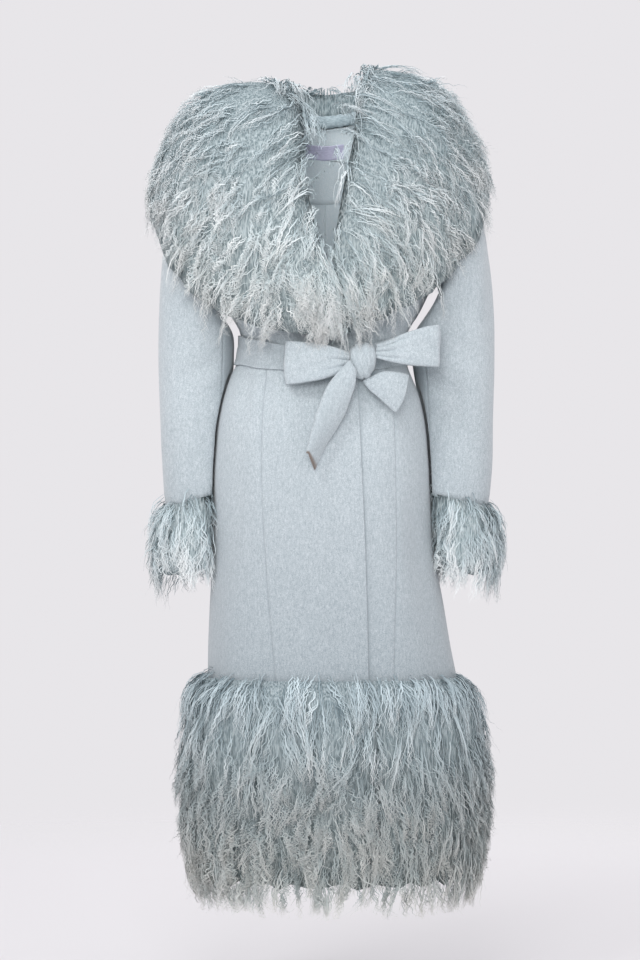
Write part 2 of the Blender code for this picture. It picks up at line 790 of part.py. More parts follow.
def surface_tree(objects):
    # All the faces of some objects, for finding where the collar lies on them
    points = []
    faces = []
    for made in objects:
        start = len(points)
        points += [tuple(v.co) for v in made.data.vertices]
        faces += [tuple(start + k for k in face.vertices) for face in made.data.polygons]
    return BVHTree.FromPolygons(points, faces)


def collar_point(table, row, share):
    # A point of the fur's outer curve, from the roll at 0 to the tips at 1, and its outward direction
    roll = np.array([table.at(column, row) for column in ("roll_x", "roll_y", "roll_z")])
    tip = np.array([table.at(column, row) for column in ("tip_x", "tip_y", "tip_z")])
    chord = tip - roll
    middle = (roll + tip) / 2
    outward = np.array([middle[0], middle[1] - 0.01, 0.0])
    outward = outward / np.linalg.norm(outward) + np.array([0.0, 0.0, 0.7])
    along = chord / np.linalg.norm(chord)
    normal = outward - along * outward.dot(along)
    normal = normal / np.linalg.norm(normal)
    peak = roll + chord * COLLAR_PEAK_SHARE + normal * table.at("full", row)
    point = roll * (1 - share) ** 2 + peak * 2 * share * (1 - share) + tip * share * share
    tangent = (peak - roll) * (1 - share) + (tip - peak) * share
    tangent = tangent / np.linalg.norm(tangent)
    out = normal - tangent * normal.dot(tangent)
    return point, out / np.linalg.norm(out)


def room_under(table, row, step, tree):
    # The least way down to the coat from a point of the collar and from those up to a step round it
    least = FUR_OPEN_REACH
    for row_shift in (-0.7, 0.0, 0.7):
        for step_shift in (-1.0, -0.5, 0.0, 0.5, 1.0):
            share = min(max((step + step_shift) / COLLAR_STEPS, 0.0), 1.0)
            point, normal = collar_point(table, row + row_shift / COLLAR_COLUMNS_PER_ROW, share)
            start = point + normal * COLLAR_RAY_START
            hit, _, _, reach = tree.ray_cast(Vector(start), Vector(-normal))
            if hit is not None:
                least = min(least, reach - COLLAR_RAY_START)
    return least


def collar_section(table, row, tree):
    over = []
    under = []
    seat = mix(collar_point(table, row, 1 / COLLAR_STEPS)[0], collar_point(table, row, 2 / COLLAR_STEPS)[0], 0.3)
    near, _, _, reach = tree.find_nearest(Vector(seat))
    under.append(np.array(near) + (seat - np.array(near)) / reach * REST_CLEARANCE)
    for step in range(COLLAR_STEPS + 1):
        share = step / COLLAR_STEPS
        point, normal = collar_point(table, row, share)
        point -= normal * lock_relief(row * COLLAR_RUN_PER_ROW, share * 0.3) * smooth_step(share * 4)
        if step > 0:
            room = room_under(table, row, step, tree) - FUR_CLEARANCE
            point += normal * max(FUR_MIN_THICKNESS - room, 0.0)
            room = max(room, FUR_MIN_THICKNESS)
        if step > 1:
            under.append(point - normal * min(room, FUR_MAX_THICKNESS * (1 - FUR_TIP_THINNING * share**2)))
        over.append(point)
    return over + under[::-1]


def make_collar(fur, rests_on):
    tree = surface_tree(rests_on)
    per_row = COLLAR_COLUMNS_PER_ROW
    back = []
    for name, table in (("collar_right", COLLAR_RIGHT), ("collar_left", COLLAR_LEFT)):
        rows = [k / per_row for k in range(10 * per_row + 1)]
        sections = np.array([collar_section(table, row, tree) for row in rows])
        cut = COLLAR_BACK_START * per_row
        along = sections[cut + 1].mean(axis=0) - sections[cut - 1].mean(axis=0)
        shift = along / np.linalg.norm(along) * COLLAR_SEAM_GAP / 2
        front = sections[: cut + 1].copy()
        front[-1] -= shift
        section_solid(name, front, "ladder", fur)
        behind = sections[cut:].copy()
        behind[0] += shift
        back.append(behind)
    around = np.concatenate([back[0], back[1][-2::-1]])
    section_solid("collar_back", around, "ladder", fur)


# Belt and bow

def belt_height(side, place):
    # Middle of the belt, lowest under the knot
    if side == "back":
        return -0.340
    return -0.340 - 0.016 * math.cos(place * math.pi / 2) ** 2


def make_belt(sash):
    sections = []
    around = [("front", mix(-1, 1, k / 22)) for k in range(22)]
    around += [("back", mix(1, -1, k / 18)) for k in range(18)]
    for side, place in around:
        middle = belt_height(side, place)
        half = BELT_HALF_WIDTH - 0.003 * math.cos(place * math.pi / 2) * (side == "front")
        heights = (-1.0, -0.35, 0.35, 1.0)
        outer = [skin(side, place, middle + half * h, -BELT_CLEARANCE - SASH_WALL) for h in heights]
        inner = [skin(side, place, middle + half * h, -BELT_CLEARANCE) for h in reversed(heights)]
        sections.append(outer + inner)
    return section_solid("belt", np.array(sections), "ring", sash)


def make_knot(sash):
    shape = bmesh.new()
    bmesh.ops.create_uvsphere(shape, u_segments=16, v_segments=10, radius=1.0)
    for vertex in shape.verts:
        x, y, z = vertex.co
        size = sum(abs(value) ** KNOT_SQUARENESS for value in (x, y, z)) ** (-1 / KNOT_SQUARENESS)
        wrap = KNOT_WRAP_DEPTH * math.cos(7.0 * x + 3.0 * z) / KNOT_HALF[0]
        grow = size * (1 - abs(wrap))
        x *= 1 + KNOT_TAPER * (z - 0.3)
        vertex.co = [KNOT_CENTRE[k] + value * KNOT_HALF[k] * grow for k, value in enumerate((x, y, z))]
    points = [tuple(vertex.co) for vertex in shape.verts]
    shape.verts.index_update()
    faces = [tuple(vertex.index for vertex in face.verts) for face in shape.faces]
    shape.free()
    return add_object("belt_knot", points, faces, sash)


def make_strip(name, grid, material, wall=SASH_WALL):
    # A band of cloth with the grid as its middle
    grid = np.array(grid)
    normals = grid_normals(grid)
    return sheet_solid(name, grid + normals * wall / 2, grid - normals * wall / 2, material)


def make_loop(name, path, sash):
    # A folded loop: each row of the path has x, y, middle height, half height and pleat depth
    across = 6
    grid = []
    for x, y, middle, half, pleat in path:
        row = []
        for j in range(across + 1):
            s = 2 * j / across - 1
            fold = pleat * math.cos(1.5 * math.pi * s + 0.5)
            row.append((x, y + fold, middle + half * s))
        grid.append(row)
    return make_strip(name, grid, sash)


def make_bow(sash):
    made = [make_knot(sash)]
    left_end = KNOT_CENTRE[0] - KNOT_HALF[0] + LOOP_TUCK
    right_end = KNOT_CENTRE[0] + KNOT_HALF[0] - LOOP_TUCK
    made.append(
        make_loop(
            "bow_loop_right",
            [
                (left_end, -0.1130, -0.3610, 0.0120, 0.0010),
                (0.0080, -0.1122, -0.3630, 0.0200, 0.0006),
                (-0.0250, -0.1122, -0.3635, 0.0275, 0.0),
                (-0.0490, -0.1125, -0.3635, 0.0310, 0.0),
                (-0.0580, -0.1170, -0.3632, 0.0315, 0.0),
                (-0.0550, -0.1250, -0.3630, 0.0315, 0.0),
                (-0.0350, -0.1315, -0.3625, 0.0300, 0.0008),
                (-0.0050, -0.1350, -0.3620, 0.0260, 0.0020),
                (0.0180, -0.1330, -0.3610, 0.0190, 0.0028),
                (left_end, -0.1255, -0.3605, 0.0125, 0.0024),
            ],
            sash,
        )
    )
    made.append(
        make_loop(
            "bow_loop_left",
            [
                (right_end, -0.1115, -0.3450, 0.0100, 0.0010),
                (0.1000, -0.1100, -0.3440, 0.0190, 0.0006),
                (0.1300, -0.1105, -0.3410, 0.0260, 0.0),
                (0.1580, -0.1115, -0.3385, 0.0300, 0.0),
                (0.1665, -0.1165, -0.3380, 0.0305, 0.0),
                (0.1630, -0.1245, -0.3385, 0.0305, 0.0),
                (0.1420, -0.1310, -0.3400, 0.0280, 0.0008),
                (0.1150, -0.1345, -0.3430, 0.0225, 0.0020),
                (0.0940, -0.1320, -0.3455, 0.0160, 0.0026),
                (right_end, -0.1235, -0.3460, 0.0105, 0.0022),
            ],
            sash,
        )
    )
    made.append(make_long_tail(sash))
    made.append(make_short_tail(sash))
    return made


def make_long_tail(sash):
    # Rows from the knot to the cut end: left edge x, fold x, right edge x, left z, right z, left y, right y
    rows = [
        (0.0350, 0.0365, 0.0460, -0.3600, -0.3760, -0.1380, -0.1365),
        (0.0160, 0.0190, 0.0435, -0.3800, -0.3970, -0.1454, -0.1375),
        (0.0020, 0.0070, 0.0385, -0.3990, -0.4120, -0.1540, -0.1380),
        (-0.0105, -0.0040, 0.0280, -0.4300, -0.4400, -0.1580, -0.1350),
        (-0.0180, -0.0120, 0.0140, -0.4560, -0.4640, -0.1600, -0.1335),
        (-0.0245, -0.0200, -0.0010, -0.4800, -0.4880, -0.1610, -0.1330),
        (-0.0275, -0.0245, -0.0150, -0.4950, -0.5200, -0.1615, -0.1330),
    ]
    grid = []
    for left, fold, right, left_z, right_z, left_y, right_y in rows:
        row = []
        for s in (0.0, 1 / 3, 2 / 3, 1.0):
            bulge = -0.004 * math.sin(math.pi * s)
            row.append((mix(fold, right, s), mix(left_y + 0.004, right_y, s) + bulge, mix(left_z, right_z, s)))
        turned = (left, left_y + 0.0075, left_z - 0.0005)
        grid.append([turned] + row)
    return make_strip("belt_tail_long", grid, sash, 0.0024)


def make_short_tail(sash):
    # Rows from under the knot to the cut end: upper and lower corner of each, and depth
    rows = [
        (0.0690, -0.3835, 0.0550, -0.3892, -0.1180),
        (0.0830, -0.3760, 0.0640, -0.4020, -0.1225),
        (0.0970, -0.3755, 0.0770, -0.4130, -0.1240),
        (0.1110, -0.3770, 0.0900, -0.4250, -0.1215),
        (0.1230, -0.3800, 0.1030, -0.4360, -0.1160),
    ]
    grid = []
    for upper_x, upper_z, lower_x, lower_z, y in rows:
        row = []
        for k in range(5):
            s = k / 4
            bulge = -0.004 * math.sin(math.pi * s)
            row.append((mix(upper_x, lower_x, s), y + bulge, mix(upper_z, lower_z, s)))
        grid.append(row)
    return make_strip("belt_tail_short", grid, sash)


def main():
    for old in list(bpy.data.objects):
        bpy.data.objects.remove(old, do_unlink=True)
    cloth = cloth_material("felted_wool", CLOTH_COLOUR, 0.95)
    sash = cloth_material("felted_sash", SASH_COLOUR, 0.95)
    fur = cloth_material("curly_fur", FUR_COLOUR, 0.90)
    band = cloth_material("short_fur_roll", BAND_COLOUR, 0.92)
    satin = cloth_material("label_satin", SATIN_COLOUR, 0.35)
    body = make_body(cloth)
    sleeves = make_sleeves(cloth)
    make_facing(cloth)
    make_label(satin)
    neck_band = make_neck_band(band)
    belt = make_belt(sash)
    make_bow(sash)
    make_hem(fur)
    make_cuff(-1, "cuff_right", fur)
    make_cuff(1, "cuff_left", fur)
    make_collar(fur, body + sleeves + [neck_band, belt])


main()
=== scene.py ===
# Long belted coat of pale blue felt with a curly fur collar, cuffs and hem
# Metres, +Z up. The front faces -Y and the wearer's left is +X

import math

import bmesh
import bpy
import numpy as np
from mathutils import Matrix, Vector
from mathutils.bvhtree import BVHTree


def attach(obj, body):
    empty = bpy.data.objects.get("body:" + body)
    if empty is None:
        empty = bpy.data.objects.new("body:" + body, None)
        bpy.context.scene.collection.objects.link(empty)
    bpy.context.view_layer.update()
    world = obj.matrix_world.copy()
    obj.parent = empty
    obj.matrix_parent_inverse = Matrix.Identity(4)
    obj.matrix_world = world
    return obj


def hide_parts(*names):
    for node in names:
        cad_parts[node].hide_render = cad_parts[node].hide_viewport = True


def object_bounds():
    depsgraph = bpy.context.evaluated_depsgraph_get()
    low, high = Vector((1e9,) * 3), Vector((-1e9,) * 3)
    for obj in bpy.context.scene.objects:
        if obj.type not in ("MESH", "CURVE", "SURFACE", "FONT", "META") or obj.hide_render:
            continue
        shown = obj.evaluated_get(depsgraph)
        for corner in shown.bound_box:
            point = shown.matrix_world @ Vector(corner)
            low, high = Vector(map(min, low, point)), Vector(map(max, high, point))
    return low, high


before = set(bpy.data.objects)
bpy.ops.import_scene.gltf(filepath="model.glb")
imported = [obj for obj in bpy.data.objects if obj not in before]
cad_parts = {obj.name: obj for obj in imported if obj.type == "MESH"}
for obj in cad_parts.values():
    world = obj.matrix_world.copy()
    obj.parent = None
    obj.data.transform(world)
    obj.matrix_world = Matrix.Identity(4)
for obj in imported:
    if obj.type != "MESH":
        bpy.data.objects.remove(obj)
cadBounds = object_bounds()


# picture: camera, light and floor


shot = {
    "middle": (-0.0075, 0.0, -0.534),  # what the camera looks at
    "distance": 4.5,
    "lens": 112.5,  # 1.44 m high at that distance
    "floorHeight": -1.320,
    "floorRadius": 3.2,
    "floorFade": (1.5, 3.0),  # it turns clear between these radii
    "floorColour": (0.685, 0.675, 0.690),
    "skyColour": (0.805, 0.79, 0.815),
    "skyStrength": 1.0,
}

lamps = [
    # name, place, size, watts
    ("keyLamp", (-1.2, -2.1, 1.6), 0.8, 27),
    ("frontLamp", (-0.15, -2.7, 0.18), 0.8, 29),
    ("fillLamp", (3.2, -2.4, 0.5), 2.4, 9),
    ("topLamp", (0.2, 0.1, 2.4), 1.6, 8),
    ("backLamp", (0.6, 3.4, 1.4), 2.4, 44),
]


class Signal:
    # a node's output that takes part in shader maths
    def __init__(self, look, socket):
        self.look = look
        self.socket = socket

    def maths(self, operation, first, second):
        return self.look.node("ShaderNodeMath", {"operation": operation}, {0: first, 1: second})

    def __add__(self, other):
        return self.maths("ADD", self, other)

    def __sub__(self, other):
        return self.maths("SUBTRACT", self, other)

    def __mul__(self, other):
        return self.maths("MULTIPLY", self, other)

    __radd__ = __add__
    __rmul__ = __mul__

    def __rsub__(self, other):
        return self.maths("SUBTRACT", other, self)


class Look:
    # a material with one principled shader, and the nodes that feed it
    def __init__(self, name, **fixed):
        self.material = bpy.data.materials.new(name)
        self.material.use_nodes = True
        self.tree = self.material.node_tree
        self.shader = self.tree.nodes["Principled BSDF"]
        for socket, value in fixed.items():
            self.shader.inputs[socket.replace("_", " ")].default_value = value

    def node(self, kind, settings=None, sockets=None, output=0):
        made = self.tree.nodes.new(kind)
        for name, value in (settings or {}).items():
            if name == "stops":
                while len(made.color_ramp.elements) < len(value):
                    made.color_ramp.elements.new(0.5)
                for stop, (place, colour) in zip(made.color_ramp.elements, value):
                    stop.position = place
                    stop.color = (*colour, 1.0)
            else:
                setattr(made, name, value)
        for name, value in (sockets or {}).items():
            self.feed(made.inputs[name], value)
        return Signal(self, made.outputs[output])

    def feed(self, socket, value):
        if isinstance(value, Signal):
            self.tree.links.new(value.socket, socket)
        else:
            socket.default_value = value

    def paint(self, name, value):
        self.feed(self.shader.inputs[name], value)

    def objectPlace(self):
        return self.node("ShaderNodeTexCoord", output=3)

    def noise(self, scale, detail=2.0, stretch=None):
        place = self.objectPlace()
        if stretch:
            place = self.node("ShaderNodeMapping", {}, {"Vector": place, "Scale": stretch})
        return self.node("ShaderNodeTexNoise", {}, {"Vector": place, "Scale": scale, "Detail": detail})

    def mark(self, name):
        return self.node("ShaderNodeAttribute", {"attribute_name": name}, output=2)

    def ramp(self, value, stops):
        return self.node("ShaderNodeValToRGB", {"stops": stops}, {"Fac": value})

    def blend(self, share, first, second, kind="MIX"):
        settings = {"data_type": "RGBA", "blend_type": kind}
        return self.node("ShaderNodeMix", settings, {0: share, 6: first, 7: second}, 2)

    def bump(self, height, strength, distance, after=None):
        sockets = {"Height": height, "Strength": strength, "Distance": distance}
        if after is not None:
            sockets["Normal"] = after
        return self.node("ShaderNodeBump", {}, sockets)

    def shadeByHeight(self, colour, low, high, shades):
        # painted shade by height: multiplies a colour by shades that run from the height low to the height
        # high
        height = self.node("ShaderNodeSeparateXYZ", {}, {0: self.objectPlace()}, 2)
        share = self.node("ShaderNodeMapRange", {}, {"Value": height, "From Min": low, "From Max": high})
        return self.blend(1.0, colour, self.ramp(share, shades), "MULTIPLY")


def addToScene(name, data):
    made = bpy.data.objects.new(name, data)
    bpy.context.scene.collection.objects.link(made)
    return made


def setPicture():
    camera = addToScene("camera", bpy.data.cameras.new("camera"))
    camera.data.lens = shot["lens"]
    camera.location = Vector(shot["middle"]) - Vector((0, shot["distance"], 0))
    camera.rotation_euler = (math.radians(90), 0, 0)
    bpy.context.scene.camera = camera
    for name, place, size, watts in lamps:
        light = bpy.data.lights.new(name, "AREA")
        light.size = size
        light.energy = watts
        lamp = addToScene(name, light)
        lamp.location = place
        aim = Vector(shot["middle"]) - Vector(place)
        lamp.rotation_euler = aim.to_track_quat("-Z", "Y").to_euler()
    world = bpy.data.worlds.new("paleRoom")
    world.use_nodes = True
    sky = world.node_tree.nodes["Background"]
    sky.inputs["Color"].default_value = (*shot["skyColour"], 1.0)
    sky.inputs["Strength"].default_value = shot["skyStrength"]
    bpy.context.scene.world = world
    bpy.context.scene.view_settings.view_transform = "Standard"


def makeFloor():
    look = Look("palePaper", Roughness=0.9)
    look.paint("Base Color", (*shot["floorColour"], 1.0))
    away = look.node("ShaderNodeVectorMath", {"operation": "LENGTH"}, {0: look.objectPlace()}, 1)
    near, far = shot["floorFade"]
    fade = {"Value": away, "From Min": near, "From Max": far, "To Min": 1.0, "To Max": 0.0}
    look.paint("Alpha", look.node("ShaderNodeMapRange", {"interpolation_type": "SMOOTHSTEP"}, fade))
    shape = bmesh.new()
    bmesh.ops.create_circle(shape, cap_ends=True, segments=96, radius=shot["floorRadius"])
    mesh = bpy.data.meshes.new("floor")
    shape.to_mesh(mesh)
    shape.free()
    mesh.materials.append(look.material)
    floor = addToScene("floor", mesh)
    floor.location = (0, 0, shot["floorHeight"])


# sizes of the coat's form, as in its solids


class SmoothTable:
    # rows of named columns, read as smooth curves over the first column
    def __init__(self, columns, rows):
        data = np.array(sorted(rows), dtype=float)
        self.keys = data[:, 0]
        self.values = {column: data[:, i] for i, column in enumerate(columns)}
        self.slopes = {column: np.gradient(data[:, i], data[:, 0]) for i, column in enumerate(columns)}

    def at(self, column, key):
        key = np.clip(key, self.keys[0], self.keys[-1])
        i = np.clip(np.searchsorted(self.keys, key, side="right") - 1, 0, len(self.keys) - 2)
        span = self.keys[i + 1] - self.keys[i]
        s = (key - self.keys[i]) / span
        value = self.values[column]
        slope = self.slopes[column]
        start = (2 * s**3 - 3 * s**2 + 1) * value[i] + (s**3 - 2 * s**2 + s) * span * slope[i]
        end = (3 * s**2 - 2 * s**3) * value[i + 1] + (s**3 - s**2) * span * slope[i + 1]
        return start + end


bodySizes = {
    "wall": 0.0024,
    "seamGap": 0.0001,
    "underarm": -0.250,
    "hemSeam": -0.836,
    "neckHalfWidth": 0.075,
    "neckBack": 0.072,
    "neckFront": 0.055,
    "neckSideHeight": 0.008,
    "shoulder": (0.205, 0.005, -0.045),
    "neckShare": 0.36,
    "squareness": 2.35,
    "armholeDepth": 0.058,
    "armholeScoop": 0.010,
    "troughStart": -0.42,
    "rowStep": 0.0085,
    "upperRows": 24,
    "lapGap": 0.0010,
    "lapPastEdge": 0.03,
    "lapStep": 0.10,
    "lapShadow": 0.016,
    "seamDip": 0.0007,
    "seamDipWidth": 0.0020,
}

bodyForm = SmoothTable(
    ("z", "right", "left", "front", "back"),
    [
        (-0.250, 0.158, 0.158, 0.116, 0.102),
        (-0.285, 0.143, 0.141, 0.108, 0.097),
        (-0.316, 0.1265, 0.1225, 0.099, 0.091),
        (-0.340, 0.1275, 0.1215, 0.095, 0.088),
        (-0.360, 0.1320, 0.1225, 0.096, 0.089),
        (-0.378, 0.1410, 0.1290, 0.102, 0.094),
        (-0.405, 0.1505, 0.1400, 0.109, 0.102),
        (-0.440, 0.1590, 0.1485, 0.115, 0.110),
        (-0.500, 0.1650, 0.1550, 0.120, 0.118),
        (-0.570, 0.1670, 0.1580, 0.123, 0.123),
        (-0.650, 0.1685, 0.1640, 0.126, 0.127),
        (-0.720, 0.1730, 0.1770, 0.129, 0.131),
        (-0.780, 0.1755, 0.1875, 0.132, 0.134),
        (-0.836, 0.1760, 0.1980, 0.135, 0.137),
        (-0.920, 0.1755, 0.2010, 0.138, 0.141),
        (-1.165, 0.1740, 0.2030, 0.142, 0.145),
    ],
)

# folds that the skirt hangs in: place, width, depth at the hem
skirtTroughs = {
    "back": [
        (-0.64, 0.15, 0.0075), (-0.28, 0.14, 0.0095), (0.10, 0.15, 0.0070),
        (0.44, 0.13, 0.0090), (0.77, 0.14, 0.0070),
    ],
    "front": [(-0.74, 0.16, 0.0050), (-0.34, 0.18, 0.0025), (0.66, 0.15, 0.0045)],
}

# seams and free edges: height and sideways place, and the place at the shoulder
seams = {
    "overEdge": (
        SmoothTable(("z", "x"), [
            (-0.250, 0.010), (-0.300, 0.030), (-0.345, 0.044), (-0.405, 0.048), (-0.520, 0.0535),
            (-0.610, 0.0575), (-0.715, 0.0610), (-0.836, 0.0635), (-1.165, 0.0660),
        ]),
        -0.36,
    ),
    "underEdge": (
        SmoothTable(("z", "x"), [
            (-0.250, -0.006), (-0.300, -0.040), (-0.345, -0.066), (-0.405, -0.072), (-1.165, -0.072),
        ]),
        0.36,
    ),
    "rightPrincess": (
        SmoothTable(("z", "x"), [
            (-0.250, -0.098), (-0.345, -0.086), (-0.440, -0.093), (-0.690, -0.085), (-0.836, -0.072),
        ]),
        -0.70,
    ),
    "leftPrincess": (
        SmoothTable(("z", "x"), [
            (-0.250, 0.098), (-0.345, 0.088), (-0.440, 0.101), (-0.570, 0.105), (-0.836, 0.101),
        ]),
        0.70,
    ),
}

# soft creases of the body: start x and z, end x and z, width, depth (a ridge where negative)
bodyCreases = {
    "front": [
        (-0.112, -0.372, -0.120, -0.470, 0.010, 0.0022),
        (-0.086, -0.378, -0.090, -0.520, 0.013, 0.0020),
        (-0.060, -0.384, -0.052, -0.450, 0.009, 0.0018),
        (-0.030, -0.388, -0.036, -0.475, 0.011, 0.0016),
        (-0.100, -0.374, -0.104, -0.440, 0.009, -0.0016),
        (0.078, -0.400, 0.086, -0.500, 0.011, 0.0018),
        (0.104, -0.384, 0.118, -0.455, 0.009, 0.0022),
        (-0.132, -0.500, -0.142, -0.700, 0.016, 0.0024),
        (-0.040, -0.560, -0.048, -0.800, 0.024, 0.0020),
        (0.020, -0.480, 0.024, -0.720, 0.022, 0.0016),
        (0.128, -0.560, 0.150, -0.780, 0.016, 0.0026),
        (-0.104, -0.330, -0.060, -0.262, 0.011, 0.0030),
        (0.104, -0.326, 0.070, -0.258, 0.011, 0.0028),
        (-0.070, -0.326, -0.030, -0.270, 0.009, 0.0020),
    ],
    "back": [
        (-0.090, -0.366, -0.100, -0.460, 0.010, 0.0024),
        (-0.048, -0.368, -0.044, -0.430, 0.008, 0.0018),
        (-0.014, -0.370, -0.020, -0.485, 0.010, 0.0022),
        (0.030, -0.368, 0.036, -0.440, 0.009, 0.0018),
        (0.072, -0.366, 0.086, -0.475, 0.011, 0.0024),
        (0.110, -0.360, 0.118, -0.420, 0.008, 0.0018),
        (-0.100, -0.314, -0.064, -0.250, 0.010, 0.0028),
        (-0.036, -0.312, -0.028, -0.256, 0.009, 0.0020),
        (0.044, -0.312, 0.034, -0.246, 0.009, 0.0022),
        (0.100, -0.314, 0.074, -0.254, 0.010, 0.0028),
        (-0.062, -0.520, -0.070, -0.700, 0.018, 0.0018),
        (0.066, -0.500, 0.060, -0.660, 0.016, 0.0016),
    ],
}


# how a crease fades in and out along its line, and the low ridges beside it
bodyFold = {"fadeIn": (0.10, 0.25), "fadeOut": (1.15, 0.65), "ridge": 0.35, "ridgeAway": 1.7}
sleeveFold = {"fadeIn": (0.15, 0.30), "fadeOut": (1.20, 0.60), "ridge": 0.40, "ridgeAway": 1.8}


def signedPower(value, squareness):
    return np.copysign(np.abs(value) ** (2 / squareness), value)


def smoothStep(value):
    value = np.clip(value, 0.0, 1.0)
    return value * value * (3 - 2 * value)


def mix(a, b, share):
    return a + (b - a) * share


upward = np.array([0.0, 0.0, 1.0])
levelOnly = np.array([1.0, 1.0, 0.0])  # keeps only the level part of a direction


def bell(distance, width=1.0):
    return np.exp(-((distance / width) ** 2))


def lengthOf(vectors):
    return np.linalg.norm(vectors, axis=-1, keepdims=True)


def unit(vectors):
    return vectors / np.maximum(lengthOf(vectors), 1e-9)


def pointsAt(x, y, z):
    return np.stack(np.broadcast_arrays(x, y, z), axis=-1)


def creaseDepth(x, z, start, end, width, most, fold):
    # how far the cloth sinks at each point, from one crease
    alongX, alongZ = end[0] - start[0], end[1] - start[1]
    t = ((x - start[0]) * alongX + (z - start[1]) * alongZ) / (alongX**2 + alongZ**2)
    near = np.clip(t, 0, 1)
    gap = np.hypot(x - start[0] - near * alongX, z - start[1] - near * alongZ) / width
    (inPast, inLong), (outPast, outLong) = fold["fadeIn"], fold["fadeOut"]
    fade = smoothStep((t + inPast) / inLong) * smoothStep((outPast - t) / outLong)
    return most * fade * (bell(gap) - fold["ridge"] * bell(gap - fold["ridgeAway"]))


def bodyRing(side, place, z, inset):
    # horizontal section at height z; place runs from -1 at the right side to 1 at the left
    half = np.where(place < 0, bodyForm.at("right", z), bodyForm.at("left", z)) - inset
    depth = bodyForm.at(side, z) - inset
    across = signedPower(np.sin(place * math.pi / 2), bodySizes["squareness"])
    out = signedPower(np.cos(place * math.pi / 2), bodySizes["squareness"])
    start = bodySizes["troughStart"]
    growth = smoothStep((start - z) / (start - bodySizes["hemSeam"]))
    sunk = 0.0
    for centre, width, most in skirtTroughs[side]:
        sunk = sunk + most * bell(place - centre, width) * growth
    x = across * (half - sunk * np.abs(across))
    y = out * (depth - sunk)
    return pointsAt(x, -y if side == "front" else y, z)


def topLine(side, place, inset):
    # neck edge, and the shoulder seam out to the shoulder point
    s = bodySizes
    reach = np.abs(place)
    turn = np.minimum(reach / s["neckShare"], 1) * math.pi / 2
    neckX = s["neckHalfWidth"] * np.sin(turn)
    if side == "back":
        neckY = s["neckBack"] * np.cos(turn)
        neckZ = s["neckSideHeight"] * np.sin(turn)
    else:
        neckY = -s["neckFront"] * np.cos(turn)
        neckZ = s["neckSideHeight"] - 0.06 * np.cos(turn) ** 2
    share = np.clip((reach - s["neckShare"]) / (1 - s["neckShare"]), 0, 1)
    onShoulder = reach > s["neckShare"]
    x = np.where(onShoulder, mix(s["neckHalfWidth"], s["shoulder"][0], share), neckX)
    y = np.where(onShoulder, mix(0.0, s["shoulder"][1], share), neckY)
    z = np.where(onShoulder, mix(s["neckSideHeight"], s["shoulder"][2], share**1.25), neckZ)
    return pointsAt(np.copysign(x, place), y, z - inset)


def coatSkin(side, place, level, inset=0.0):
    # a level is a height under the armhole, or a turn in degrees over it
    place = np.asarray(place, dtype=float)
    inset = np.asarray(inset, dtype=float)
    underarm = bodySizes["underarm"]
    if level <= underarm:
        return bodyRing(side, place, level + 0 * place, inset)
    turn = math.radians(level)
    base = bodyRing(side, place, underarm + 0 * place, inset)
    top = topLine(side, place, inset)
    rise = math.sin(turn)
    swell = math.sin(math.pi * rise) * place * place
    bulge = (bodySizes["armholeDepth"] - inset) * swell
    x = mix(base[:, 0], top[:, 0], rise**2) - np.copysign(bodySizes["armholeScoop"] * swell, place)
    y = mix(base[:, 1], top[:, 1], 1 - math.cos(turn)) + (-bulge if side == "front" else bulge)
    return pointsAt(x, y, mix(base[:, 2], top[:, 2], rise))


def placeOf(x, z):
    half = bodyForm.at("right" if x < 0 else "left", z)
    share = min(abs(x) / half, 1.0) ** (bodySizes["squareness"] / 2)
    return math.copysign(math.asin(share) / (math.pi / 2), x)


def seamPlace(name, level):
    table, topPlace = seams[name]
    underarm = bodySizes["underarm"]
    if level <= underarm:
        return placeOf(float(table.at("x", level)), level)
    foot = placeOf(float(table.at("x", underarm)), underarm)
    return mix(foot, topPlace, math.sin(math.radians(level)))


def clothLevels():
    s = bodySizes
    count = round((s["underarm"] - s["hemSeam"]) / s["rowStep"])
    heights = np.linspace(s["hemSeam"] + s["seamGap"], s["underarm"], count + 1)
    return [*heights, *(90.0 * step / s["upperRows"] for step in range(1, s["upperRows"] + 1))]


# meshes


rimBulge = 0.22  # how far a rim stands out, as a share of the wall
closeEdges = (0.0011, 0.0026, 0.0048, 0.0080)  # columns beside a panel's edges


def meshFromArrays(name, points, quads):
    points = np.ascontiguousarray(points, dtype=np.float32)
    quads = np.ascontiguousarray(quads, dtype=np.int32)
    mesh = bpy.data.meshes.new(name)
    mesh.vertices.add(len(points))
    mesh.vertices.foreach_set("co", points.ravel())
    mesh.loops.add(quads.size)
    mesh.loops.foreach_set("vertex_index", quads.ravel())
    mesh.polygons.add(len(quads))
    mesh.polygons.foreach_set("loop_start", np.arange(0, quads.size, 4, dtype=np.int32))
    mesh.polygons.foreach_set("use_smooth", np.full(len(quads), True))
    mesh.update(calc_edges=True)
    mesh.validate()
    return mesh


def setMark(mesh, name, values):
    mark = mesh.attributes.new(name, "FLOAT", "POINT")
    mark.data.foreach_set("value", np.ascontiguousarray(values, dtype=np.float32).ravel())


def addPiece(name, mesh, look, replaces=()):
    mesh.materials.append(look.material)
    piece = addToScene(name, mesh)
    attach(piece, "root")
    if replaces:
        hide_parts(*replaces)
    return piece


def solidOf(name):
    # a piece is named for the solid that it stands for, and its material
    return name.rsplit("_", 1)[0]


def gridNormals(grid, outFrom=None):
    normal = unit(np.cross(np.gradient(grid, axis=0), np.gradient(grid, axis=1)))
    if outFrom is not None:
        normal *= np.sign(np.sum(normal * (grid - outFrom)))
    return normal


def gridQuads(rows, columns):
    i, j = np.meshgrid(np.arange(rows - 1), np.arange(columns - 1), indexing="ij")
    a = (i * columns + j).ravel()
    return np.stack([a, a + 1, a + 1 + columns, a + columns], axis=1)


